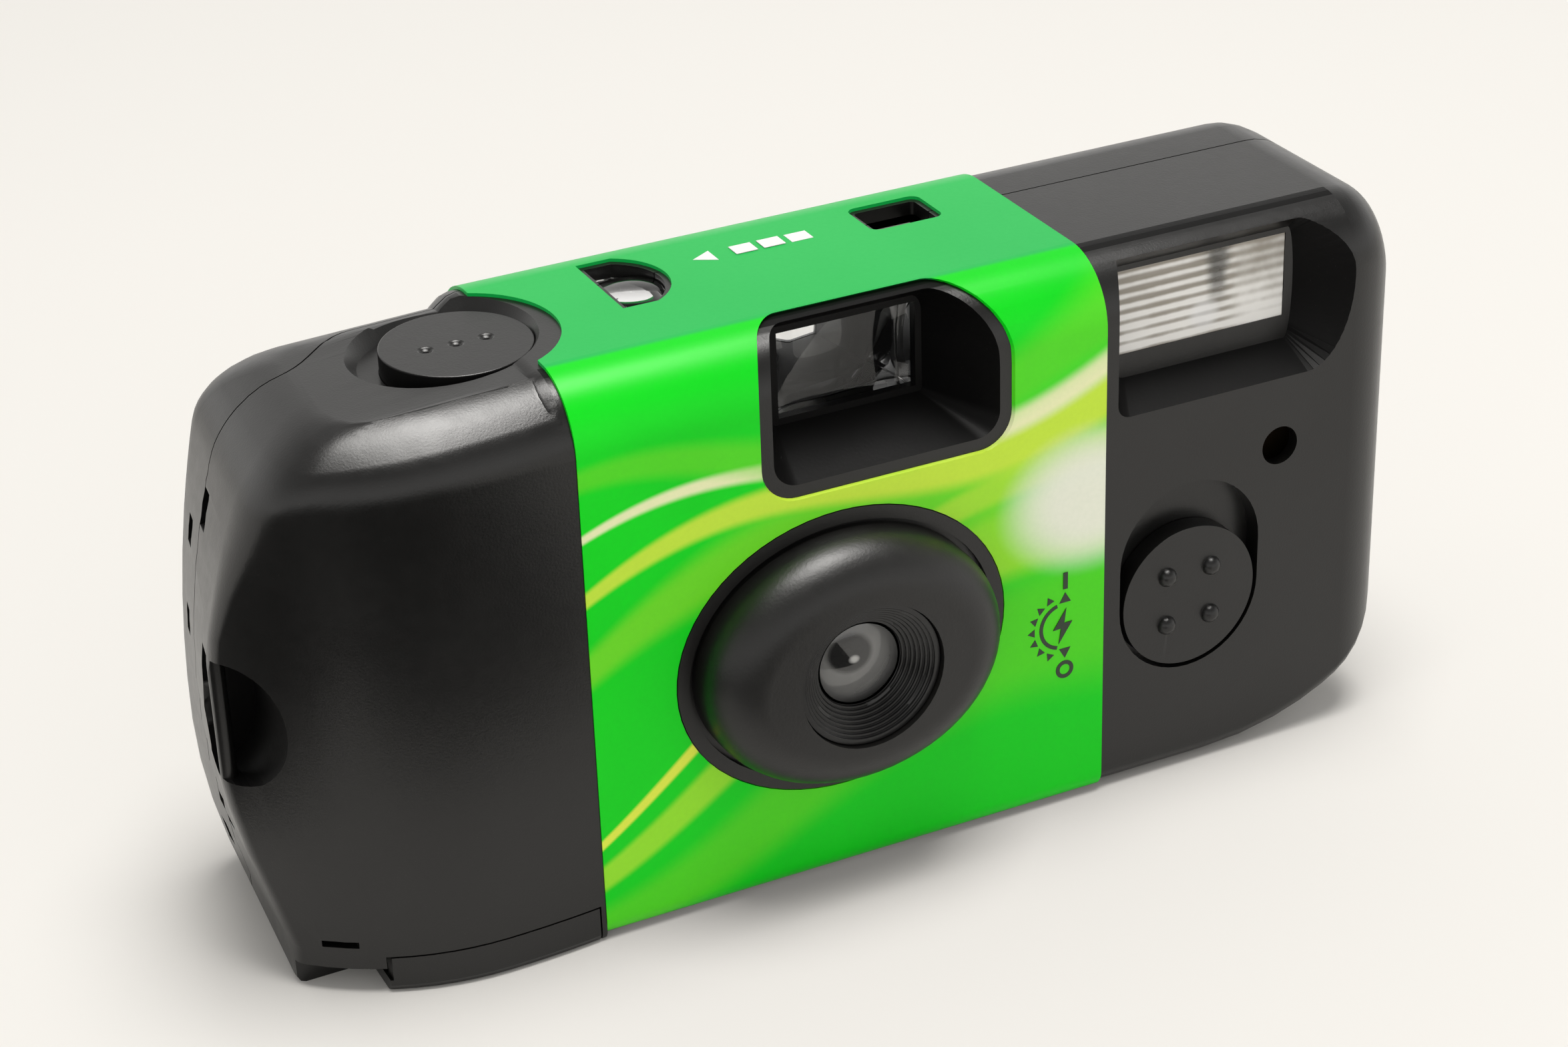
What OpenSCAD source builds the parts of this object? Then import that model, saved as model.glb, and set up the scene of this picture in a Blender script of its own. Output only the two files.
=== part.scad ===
// Single-use film camera with flash: a two-part moulded case around a film frame,
// a mechanical shutter, a winding train and a flash unit.
// Modelled with X from the lens axis to the flash, Y from the label's front face to the back
// and Z up from the base, then moved so that the origin is the middle of the base.

/* [Case] */
// Wall of the front and rear covers
wall = 1.2; // [1:0.1:1.4]
// Depth from the front face to the seam between the covers
front_depth = 18.4; // [17.6:0.2:19.2]
// Gap at the seam between the covers
seam = 0.15; // [0.1:0.05:0.25]
// Rounding of the front top edge under the label
front_top_r = 5.6; // [5:0.2:6]
// Rounding of the back top edge
back_top_r = 6; // [5:0.2:6.4]
// Rounding of the bottom edges
bottom_r = 1.7; // [1.5:0.1:2]
// Length of the rounding at the lower outer end
corner_r = 20; // [18:0.5:21]
// Height of the rounding at the lower outer end
corner_h = 13; // [11:0.5:14]
// Rounding of the flash end's front edge, seen from above
flank_r = 6; // [5:0.5:7]
// Free room between the cartridge and the hand grip's end
grip_room = 7.6; // [7.4:0.2:9]
// Free room between the capacitor and the flash end
flash_room = 3.5; // [3:0.25:5]

/* [Hand grip] */
// Forward swell of the grip's front face
grip_swell = 0.4; // [0.2:0.1:0.6]
// Radius of the grip's rounded front, seen from above
grip_arc_r = 23; // [22:0.5:25]
// Radius of the broad brow over the front of the grip
brow_r = 13; // [12:0.5:14]
// Depth of the rounding at the top of the grip's front
grip_top_in = 5.2; // [4.9:0.1:5.5]
// Rise of the grip's top from its end to the label
grip_rise = 0.8; // [0.5:0.1:1]
// Further climb of the top at its front edge
grip_brow = 0.8; // [0.6:0.1:0.9]
// Softness of the crease between the grip's front and end
crease_soft = 0.6; // [0.4:0.1:0.8]
// Rounding of the grip's upper outer corner
grip_corner_r = 5.5; // [5:0.25:6]
// Radius of the grip's barrel-shaped end, seen from the front
barrel_r = 52; // [50:1:60]
// Drop from the label's top to the shoulder beside it
shoulder_drop = 0.9; // [0.7:0.1:1.2]
// Fall of the shoulder towards the grip's end
shoulder_fall = 1.2; // [1:0.1:1.4]

/* [Label] */
// Left edge of the label, from the lens axis
label_left = -22.8; // [-23.2:0.1:-22.4]
// Width of the label band
label_w = 48.1; // [47.6:0.1:48.4]
// Thickness of the label band
label_t = 0.3; // [0.2:0.05:0.4]

/* [Lens] */
// Half width of the oval flange round the lens
oval_a = 15.3; // [15:0.1:16]
// Half height of the oval flange round the lens
oval_b = 13; // [12.8:0.1:13.4]
// Half width of the swollen lens surround
swell_a = 13.7; // [13.2:0.1:13.9]
// Half height of the swollen lens surround
swell_b = 11.3; // [11:0.1:11.6]
// Rounding of the lens surround
swell_r = 4.2; // [3.8:0.1:4.4]
// Reach of the lens surround in front of the label
lens_reach = 5.4; // [5:0.1:6]
// Radius of the mouth of the lens surround
mouth_r = 6.6; // [6.2:0.1:6.8]
// Radius of the taking lens
lens_r = 4.4; // [4.2:0.1:4.6]
// Radius of the lens stop
stop_r = 1.6; // [1.4:0.1:1.8]
// Steps of the ring in front of the lens
ring_steps = 8; // [5:1:10]

/* [Finder] */
// Middle of the finder, from the lens axis
finder_x = 4.45; // [4.2:0.05:4.7]
// Width of the finder's front lens
finder_w = 14; // [13.4:0.1:14.4]
// Drop from the camera's top to the bottom of the finder's front lens
finder_drop = 10.9; // [10.5:0.1:11.1]
// Depth of the hollows in both faces of the finder's front lens
finder_hollow = 1.5; // [1:0.1:1.6]
// Depth of the finder's front lens behind the label
finder_depth = 7; // [6.6:0.2:7.4]
// Left margin of the finder's mouth beyond the lens
mouth_left = 3.3; // [3:0.1:3.6]
// Right margin of the finder's mouth beyond the lens
mouth_right = 3.9; // [3.6:0.1:4.2]
// Lower margin of the finder's mouth below the lens
mouth_low = 2.2; // [2:0.1:2.4]
// Rounding of the upper right corner of the finder's mouth
mouth_bow = 4; // [3:0.2:4.4]

/* [Flash] */
// Middle of the flash window, from the lens axis
flash_x = 37; // [36.8:0.1:37.4]
// Width of the flash window
flash_w = 17.2; // [16.8:0.1:17.6]
// Drop from the camera's top to the bottom of the flash window
flash_drop = 10.7; // [10.4:0.1:10.9]
// Height of the flash window
flash_h = 7.8; // [7.6:0.1:8]
// Depth of the flash window behind the label
flash_depth = 4.2; // [4:0.1:4.4]
// Radius of the flash tube
tube_r = 1.3; // [1.1:0.1:1.5]
// Radius of the flash capacitor
cap_r = 4.3; // [4:0.1:4.6]
// Length of the flash capacitor
cap_len = 28; // [26:0.5:30]
// Radius of the battery
battery_r = 6; // [5.6:0.05:6]
// Length of the battery without its stud
battery_len = 29.2; // [28:0.1:29.6]
// Thickness of the circuit board
board_t = 1.2; // [0.8:0.1:1.4]

/* [Controls] */
// Shutter button, from the cartridge axis
button_off = 4.7; // [4.5:0.1:4.9]
// Radius of the shutter button
button_r = 6.3; // [6.1:0.1:6.5]
// Travel of the shutter button
button_stroke = 0.8; // [0.6:0.1:0.9]
// Radius of the dish round the shutter button
dish_r = 9; // [8.8:0.1:9.2]
// Shift of the dish towards the end of the grip
dish_off = 1.3; // [1:0.1:1.4]
// Middle of the flash switch, from the lens axis
switch_x = 34.2; // [34:0.1:34.6]
// Height of the flash switch when it is off
switch_z = 17.4; // [17.2:0.1:17.8]
// Radius of the flash switch
switch_r = 6.7; // [6.5:0.1:6.9]
// Travel of the flash switch
switch_stroke = 4.1; // [3.8:0.1:4.2]
// Thickness of the winding wheel
wheel_t = 2.1; // [1.8:0.1:2.2]
// Grips round the winding wheel
wheel_grips = 60; // [40:4:72]
// Radius of the frame counter dial
dial_r = 5.1; // [4.9:0.1:5.2]

/* [Film] */
// Height of the film's lower edge above the base
film_low = 4.3; // [4.2:0.05:4.6]
// Width of the film gate
gate_w = 36; // [35:0.5:37]
// Height of the film gate
gate_h = 24; // [23:0.5:24.5]
// Width of the film
film_w = 35; // [34.8:0.1:35.2]
// Thickness of the film
film_t = 0.14; // [0.12:0.01:0.18]
// Radius of the film cartridge
can_r = 12.4; // [12.2:0.1:12.6]
// Wall of the film cartridge
can_t = 0.4; // [0.3:0.05:0.5]
// Radius of the roll of unexposed film
roll_r = 8.75; // [8.5:0.05:9]
// Wall of the film chambers
chamber_t = 0.7; // [0.6:0.05:0.9]
// Thickness of the cartridge door
lid_t = 1.2; // [1:0.1:1.4]

/* [Clearances] */
// Gap round the cartridge and the roll of film
film_gap = 0.25; // [0.2:0.05:0.4]
// Radial gap of a pin or shaft in its bore
running = 0.05; // [0.03:0.01:0.08]
// Gap between pieces that slide past each other
slip = 0.2; // [0.15:0.05:0.3]

/* [Hidden] */
$fn = 48;
tiny = 0.01;

// Depths, from the label's front face
body_d = label_t + slip + 2 * wall + 2 * film_gap + 2 * can_r + chamber_t + slip - grip_swell;
case_front = label_t;
case_back = body_d - label_t;
grip_back = case_back - slip / 1.5;
cart_y = -grip_swell + wall + slip + chamber_t + film_gap + can_r;
film_y = case_back - wall - 1.2;
roll_y = film_y - roll_r;
front_y = (lens_reach - body_d) / 2;

// Places across the camera, from the lens axis
cart_x = -(gate_w / 2 + 1.1 + can_r);
chamber_r = can_r + film_gap + chamber_t;
roll_room_r = roll_r + 0.4 + film_gap;
roll_out_r = roll_room_r + chamber_t;
roll_x = gate_w / 2 + 2.4 + roll_out_r;
cap_x = roll_x + roll_out_r + 3.8 + cap_r;
left_x = cart_x - can_r - grip_room;
right_x = cap_x + cap_r + flash_room;
mid_x = (left_x + right_x) / 2;
label_right = label_left + label_w;
case_left = label_left - 0.5;
button_x = cart_x + button_off;
button_y = cart_y;

// Heights, built up from the film through the winding wheel to the button
lens_z = film_low + film_w / 2;
film_top = film_low + film_w;
can_low = lid_t + slip + 0.1;
can_top = film_top + 2.1;
plate_t = 0.9;
plate_top = can_top + film_gap + plate_t;
wheel_low = plate_top + 0.15;
wheel_top = wheel_low + wheel_t;
lever_t = 0.7;
lever_z = wheel_top + button_stroke + 0.5;
lever_top = lever_z + lever_t;
dish_under = lever_top + 0.6;
dish_z = dish_under + 1;
button_top = dish_z + 2;
body_h = button_top + 0.6;
case_top = body_h - label_t;
case_low = label_t;
shoulder_z = body_h - shoulder_drop;
grip_top = shoulder_z - shoulder_fall;
finder_z = body_h - finder_drop;
flash_z = body_h - flash_drop;

// Film and frame
gate_t = 1.4;
gate_front = film_y - slip - gate_t;
box_front = 5;
box_t = 0.8;
roll_floor = film_low - 0.4;
roll_ceiling = film_top + 0.4;
end_t = 0.8;
deck_z = film_top + 0.9;
deck_t = 1;
hub_r = 5.2;

// Winding train
wheel_r = can_r + 0.45;
sprocket_r = 5.9;
sprocket_x = -10.5;
sprocket_y = film_y - sprocket_r - 0.1;
sprocket_z = film_top - 3.8;
shaft_r = 1.5;
dial_x = sprocket_x - 2.6;
dial_y = sprocket_y - 2.45;
dial_z = wheel_top + 0.2;
post_r = 1.2;

// Shutter
base_front = 2.4;
base_t = 1.2;
blade_y = base_front + base_t + slip;
blade_t = 0.3;
blade_pin_x = 8.2;
blade_pin_z = lens_z + 5.5;
pin_r = 1;
lens_front = -2.6;
barrel_out = lens_r + 3;

// Finder and flash
finder_top = body_h - 2;
finder_left = finder_x - finder_w / 2;
finder_right = finder_x + finder_w / 2;
eye_w = 7.8;
eye_low = finder_z + 0.7;
eye_top = eye_low + 5.2;
finder_t = 2 * finder_hollow + 1;
flash_left = flash_x - flash_w / 2;
flash_right = flash_x + flash_w / 2;
flash_top = flash_z + flash_h;
flash_mid = flash_z + flash_h / 2;
board_y = 5;
board_left = flash_left - 0.4;
battery_y = case_front + wall + slip + battery_r;
battery_z = case_low + wall + slip + battery_r + 0.2;
battery_x = -14.6;

// Switch and ready light
switch_floor = 2.2;
switch_face = case_front;
switch_gap = 0.4;
stem_w = 3;
stem_h = 4;
back_plate = 0.8;
bar_x = 23.5;
bar_w = 1.5;
light_x = 15.45;
light_y = 19.05;
light_w = 4.7;
light_d = 3.4;
light_top = body_h - 2;
light_hole_w = 5.9;
light_hole_d = 4.3;
counter_x = -9.9;
counter_y = 17.5;
counter_w = 5;
counter_d = 8.9;
counter_bow = 0.585 * counter_d;

// Door, strap post and release lever
lid_left = cart_x - 10;
lid_right = label_left - 0.6;
lid_back = grip_back - 2.2;
lid_lip = 3.4;
strap_x = left_x + 1.1;
strap_y = 10.9;
strap_r = 0.7;
strap_low = 18.8;
strap_top = 30;
strap_right = left_x + 4.7;
strap_back = strap_y + 2.6;
step_z = 2.4;
step_back = 6.8;
lever_x = button_x + 7.2;
lever_pin_r = 0.5;
drive_x = -13.5;
drive_y = 7.5;

black = [0.08, 0.08, 0.08];
dark = [0.14, 0.14, 0.15];
clear = [0.8, 0.85, 0.88, 0.5];
steel = [0.7, 0.7, 0.72];

// Moves a piece from the lens axis and the label's face to the shared origin
module place() {
    translate([-mid_x, front_y, 0])
        children();
}

// Box between two corners
module block(low, high) {
    translate(low)
        cube(high - low);
}

// Solid through a row of rings that hold equally many points
module loft(rings) {
    n = len(rings[0]);
    last = (len(rings) - 1) * n;
    sides = [for (k = [0:len(rings) - 2], i = [0:n - 1], half = [0, 1])
        let (a = k * n + i, b = k * n + (i + 1) % n)
        half == 0 ? [a, b, b + n] : [a, b + n, a + n]];
    first_cap = [for (i = [n - 1:-1:0]) i];
    last_cap = [for (i = [0:n - 1]) last + i];
    polyhedron(points = [for (ring = rings) each ring], faces = concat([first_cap], sides, [last_cap]));
}

// List in the opposite order
function turned(list) = [for (i = [len(list) - 1:-1:0]) list[i]];

// Round rod along Y from one depth to another
module rod_y(x, z, r, y0, y1) {
    translate([x, y0, z])
        rotate([-90, 0, 0])
            cylinder(h = y1 - y0, r = r);
}

// Round rod along X from one place to another
module rod_x(y, z, r, x0, x1) {
    translate([x0, y, z])
        rotate([0, 90, 0])
            cylinder(h = x1 - x0, r = r);
}

// Upright round rod
module rod_z(x, y, r, z0, z1) {
    translate([x, y, z0])
        cylinder(h = z1 - z0, r = r);
}

// How far a rounding of radius r has drawn in at distance s past its start
function draw_in(s, r) = s <= 0 ? 0 : r - sqrt(max(0, r * r - s * s));

// Points of a quarter round, from one angle to the next
function quarter(cy, cz, r, a0, step) =
    [for (a = [a0:step:a0 + 90]) [cy + r * cos(a), cz + r * sin(a)]];

// Cross-section of the case across X: a box with its own rounding at each corner
function case_ring(x, y0, y1, z0, z1, low_r, front_r, back_r, step) =
    [for (p = concat(quarter(y0 + low_r, z0 + low_r, low_r, 180, step),
        quarter(y1 - low_r, z0 + low_r, low_r, 270, step),
        quarter(y1 - back_r, z1 - back_r, back_r, 0, step),
        quarter(y0 + front_r, z1 - front_r, front_r, 90, step)))
        [x, p[0], p[1]]];

// One cross-section of the flash end, drawn in towards the end
function end_ring(x, w, step) =
    case_ring(x, case_front + w + draw_in(x - (right_x - flank_r), flank_r - w),
        case_back - w - draw_in(x - (right_x - flank_r), flank_r - w),
        case_low + w + draw_in(x - (right_x - corner_r), corner_r - w) * corner_h / corner_r,
        case_top - w - draw_in(x - (right_x - front_top_r), front_top_r - w),
        max(0.1, bottom_r - w), front_top_r - w, back_top_r - w, step);

// Middle and flash end of the case, w inside its outer surface
module case_form(w) {
    step = w > 0 ? 15 : 7.5;
    ramp = [for (f = [1, 0.8, 0.6, 0.4, 0.2])
        [for (p = end_ring(case_left, 2.2 * f * f * (3 - 2 * f), step)) p - [4 * f, 0, 0]]];
    start = w > 0 ? [end_ring(label_left + 0.5, w, step), end_ring(label_left + 6, w, step)]
        : concat(ramp, [end_ring(case_left, 0, step)]);
    steps = [0, 0.2, 0.38, 0.52, 0.63, 0.7, 0.76, 0.82, 0.87, 0.91, 0.945, 0.97, 0.988, 0.997, 1];
    loft(turned(concat(start,
        [for (f = steps) end_ring(right_x - corner_r + f * (corner_r - w), w, step)])));
}

// Front of the grip at a given place across the camera
arc_x = left_x + 19.8;
function grip_front(x, w) = w - grip_swell + (x > arc_x ? (x - arc_x) * (x - arc_x) / 160
    : (grip_arc_r - w) - sqrt(pow(grip_arc_r - w, 2) - pow(x - arc_x, 2)));

// Point on a soft corner between two straight runs
function bend(a, corner, b, t) = (1 - t) * (1 - t) * a + 2 * t * (1 - t) * corner + t * t * b;

// One level of the grip: softened crease, front face and back, seen from above
function grip_ring(z, x_end, x_tail, x_right, y_in, y_back, soft, w) =
    let (corner = [x_end, grip_front(x_end, w) + y_in],
        on_front = [x_end + soft, grip_front(x_end + soft, w) + y_in],
        tail = [x_tail, y_back - 3.5], away = (tail - corner) / norm(tail - corner),
            on_side = corner + 2 * soft * away)
    [for (p = concat(
        [for (t = [0:0.25:0.75]) bend(on_side, corner, on_front, t)],
        [for (i = [0:9]) let (x = on_front[0] + (arc_x - on_front[0]) * i / 10) [x,
            grip_front(x, w) + y_in]],
        [for (i = [0:5]) let (x = arc_x + (x_right - arc_x) * i / 5) [x, grip_front(x, w) + y_in]],
        [[x_right, y_back]],
        [for (i = [0:6]) let (r = 3.5) [x_tail + r - r * sin(15 * i), y_back - r + r * cos(15 * i)]]))
        [p[0], p[1], z]];

// Grip front near its top: a broad brow from the crease, then a tighter edge, as draw-in and height
brow_low = 18;
brow_high = 36;
edge_r = (grip_top_in - brow_r * (sin(brow_high) - sin(brow_low))) / (1 - sin(brow_high));
edge_drop = brow_r * (cos(brow_low) - cos(brow_high));
function brow_point(a, w) = a <= brow_high
    ? [grip_top_in + brow_r * sin(brow_low) - (brow_r - w) * sin(a) - w,
        grip_top - brow_r * cos(brow_low) + (brow_r - w) * cos(a)]
    : [max(0.2, edge_r - w) * (1 - sin(a)),
        grip_top - edge_drop - edge_r * cos(brow_high) + max(0.2, edge_r - w) * cos(a)];

// Grip level worked out from the barrel end and the roundings
function grip_level(z, w, edge, x_right, y_front) =
    let (c = grip_top - grip_corner_r, side = draw_in(z - c, grip_corner_r - w) + edge + w,
        x_end = left_x + pow(max(z, 5) - 24, 2) / (2 * barrel_r) + side,
        x_tail = left_x + 2.2 + pow(z - 17, 2) / (z < 17 ? 100 : 220) + side,
        y_in = y_front + edge,
        y_back = grip_back - w - edge - draw_in(z - (grip_top - back_top_r), back_top_r - w))
    grip_ring(z, x_end, x_tail, x_right, y_in, y_back, crease_soft * (z < 34 ? 1 : 1 + (z - 34) / 4), w);

// Hand grip over the cartridge, w inside its outer surface
// Grip point lifted where the top climbs towards the label
function raised(p) =
    let (along = min(1, max(0, (p[0] - left_x - 5) / 22)), up = min(1, max(0, (p[2] - 34) / (grip_top - 34))),
        near = min(1, max(0, (p[0] - left_x - 5) / 12)))
    p + [0, 0, up * (grip_rise * along + grip_brow * near * forward(p[1]))];

// Share of the brow at a given depth: full at the front edge, none behind the button
function forward(y) = min(1, max(0, (20 - y) / 16));

module grip_form(w) {
    x_right = w > 0 ? label_left + 3 : label_left;
    low = w > 0 ? [[w, 0, 0]] : [[0, 0.7, 0], [0.2, 0.25, 0], [0.7, 0, 0]];
    upper = w > 0 ? [11, 7] : [10.4, 8.4, 6.7, 5.5];
    flat = concat([for (z = [4:w > 0 ? 9 : 4:36]) [z, 0, 0]], [for (d = upper) [grip_top - d, 0, 0]]);
    turns = w > 0 ? [86, 70, 52, brow_high, 30, 24]
        : [88, 78, 68, 58, 50, 42, brow_high, 30, 25.2, 21.9, 19.6, 18.4];
    curve = [for (a = turns) let (p = brow_point(a, w)) [p[1], 0, p[0]]];
    last = w > 0 ? brow_point(24, w) + [(grip_top - w - brow_point(24, w)[1]) / tan(21), 0]
        : brow_point(brow_low, 0);
    top = [grip_top - w, 0, last[0]];
    crown = [for (p = grip_level(grip_top - w, w, 0, x_right, last[0]))
        [max(p[0], x_right - 3 + (p[0] - x_right) / 20), p[1],
            shoulder_z - w + 0.35 * grip_brow * forward(p[1])]];
    levels = [for (l = concat(low, flat, curve, [top]))
        [for (p = grip_level(l[0], w, l[1], x_right, l[2])) raised(p)]];
    loft(turned(concat(levels, [crown])));
}

// Oval plate round the lens axis from one depth to another
function oval(a, b, y) = [for (i = [0:63]) [a * cos(5.625 * i), y, lens_z + b * sin(5.625 * i)]];
module oval_plate(a, b, y0, y1) {
    loft([oval(a, b, y0), oval(a, b, y1)]);
}

// Swollen lens surround
module lens_swell() {
    curve = [for (t = [90:-11.25:0]) oval(swell_a - swell_r * (1 - cos(t)),
        swell_b - swell_r * (1 - cos(t)),
        -lens_reach + swell_r * (1 - sin(t)))];
    loft(concat(curve, [oval(swell_a, swell_b, wall + label_t)]));
}

// Funnel between an upright rectangle at one depth and another at a second depth
module funnel(y0, low0, high0, y1, low1, high1) {
    ring0 = [[low0[0], y0, low0[1]], [high0[0], y0, low0[1]], [high0[0], y0, high0[1]],
        [low0[0], y0, high0[1]]];
    ring1 = [[low1[0], y1, low1[1]], [high1[0], y1, low1[1]], [high1[0], y1, high1[1]],
        [low1[0], y1, high1[1]]];
    loft([ring0, ring1]);
}

// Rectangle edge at depth y on a line that passes a margin at the label's face
function taper(edge, margin, depth, y) = edge + margin * (1 - y / depth);

// Sighting recess in front of the finder lens
// Upright rectangle with rounded corners, the upper right one larger, as a ring of points
function round_ring(y, low, high, r, wide, tall) =
    [for (q = [[low[0] + r, low[1] + r, 180, r, r], [high[0] - r, low[1] + r, 270, r, r],
        [high[0] - wide, high[1] - tall, 0, wide, tall], [low[0] + r, high[1] - r, 90, r, r]], a = [0:9:90])
        [q[0] + q[3] * cos(q[2] + a), y, q[1] + q[4] * sin(q[2] + a)]];

module finder_recess(y0, y1, grow) {
    function low(y) = [taper(finder_left, -mouth_left, finder_depth, y) - grow,
        taper(finder_z, -mouth_low, finder_depth, y) - grow];
    function high(y) = [taper(finder_right, mouth_right, finder_depth, y) + grow,
        taper(finder_top, 4.5, finder_depth, y) + grow];
    function soft(y) = taper(0.4, 1.9, finder_depth, y) + 0.8 * grow;
    function wide(y) = taper(1, mouth_bow, finder_depth, y) + 0.8 * grow;
    function tall(y) = taper(1.6, 2 * mouth_bow, finder_depth, y) + 0.8 * grow;
    loft([for (y = [y0, y1]) round_ring(y, low(y), high(y), soft(y), wide(y), tall(y))]);
}

// Recess in front of the flash window, with a round scoop at its outer end
// Outline of the flash recess at one depth: square beside the label, a half oval at the outer end
function flash_ring(y) =
    let (x0 = taper(flash_left, -1.9, flash_depth, y), x1 = flash_right + 0.2,
        z0 = taper(flash_z - 2.2, -1.8, flash_depth, y), z1 = taper(flash_top + 0.5, 4.2, flash_depth, y),
        reach = taper(0.7, 4.2, flash_depth, y), r = 1.2)
    concat([for (a = [180:15:270]) [x0 + r + r * cos(a), y, z0 + r + r * sin(a)]],
        [for (a = [-90:7.5:90]) [x1 + reach * cos(a), y, (z0 + z1) / 2 + (z1 - z0) / 2 * sin(a)]],
        [[x0, y, z1]]);

module flash_recess(y0, y1) {
    loft([flash_ring(y0), flash_ring(y1)]);
}

// Thickening behind the front wall, with its upper edge kept under the rounded top
module backing(x0, x1, y1, z0) {
    c = front_top_r + case_front;
    translate([x0, 0, 0])
        rotate([90, 0, 90])
            linear_extrude(x1 - x0)
                polygon([[case_front + 0.4, z0], [case_front + 0.4, case_top - c],
                    [case_front + 1.4, case_top - 2.2],
                    [case_front + 3, case_top - 1], [y1, case_top - 1], [y1, z0 + 1]]);
}

// Oblong slot seen from the front
module slot_y(x, z0, z1, r, y0, y1) {
    rod_y(x, z0, r, y0, y1);
    rod_y(x, z1, r, y0, y1);
    block([x - r, y0, z0], [x + r, y1, z1]);
}

// Dish round the shutter button
module dish(grow) {
    translate([button_x - dish_off, button_y + 0.9 * dish_off, dish_z])
        cylinder(h = 4, r1 = button_r + 0.2 + grow, r2 = dish_r + 0.7 + grow);
}

// Openings in the top for the counter and the ready light
// Counter window: straight on one side, bowed on the other
module counter_shape(z0, z1, grow) {
    intersection() {
        block([counter_x - counter_w / 2 - grow, counter_y - counter_d / 2 - grow, z0],
            [counter_x + counter_w / 2 + grow, counter_y + counter_d / 2 + grow, z1]);
        rod_z(counter_x + counter_w / 2 - counter_bow, counter_y, counter_bow + grow, z0 - 1, z1 + 1);
    }
}

module top_openings(z0, z1, grow) {
    counter_shape(z0, z1, grow);
    translate([light_x, light_y, z0])
        linear_extrude(z1 - z0)
            offset(r = 0.4 + grow)
                square([light_hole_w - 0.8, light_hole_d - 0.8], center = true);
}

// Room for the cartridge door, with a gap round it
module door_room(gap) {
    block([lid_left - gap, -5, -5], [lid_right + gap, lid_back + gap, lid_t + gap]);
    block([lid_left - gap, -5, -5], [lid_right + gap, 7, lid_lip + gap]);
}

// Closed skin of the case, before any opening
module case_skin() {
    difference() {
        union() {
            case_form(0);
            grip_form(0);
        }
        case_form(wall);
        grip_form(wall);
    }
}

// Space that belongs to the front cover, behind the seam only round the button
module front_side(gap) {
    block([-99, -9, -9], [99, front_depth - gap, 99]);
    x0 = button_x - dish_r - 4.7;
    y1 = grip_back - 4.8;
    translate([0, 0, dish_under - 1.5])
        linear_extrude(50)
            offset(delta = -gap)
                polygon(concat([[x0, 0], [x0, front_depth]],
                    [for (t = [0.1:0.1:0.95])
                        [x0 + 8 * t, front_depth + (y1 - front_depth) * t * t * (3 - 2 * t)]],
                    [[x0 + 8, y1], [button_x + dish_r + 1.5, y1], [button_x + dish_r + 1.5, 0]]));
}

// Hollow round the strap post, open to the front and to the end
module strap_hollow() {
    mid = (strap_low + strap_top) / 2;
    tall = (strap_top - strap_low) / 2;
    wide = strap_right - strap_x;
    difference() {
        union() {
            translate([strap_x, strap_back, mid])
                rotate([90, 0, 0])
                    scale([wide / tall, 1, 1])
                        cylinder(h = strap_back + 2, r = tall);
            translate([left_x - 1, strap_y + 0.3, mid])
                rotate([0, 90, 0])
                    scale([0.8, (strap_back - strap_y) / tall, 1])
                        cylinder(h = strap_x - left_x + 1, r = tall);
        }
        rod_z(strap_x, strap_y, strap_r, strap_low - 1, strap_top + 1);
    }
}

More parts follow.
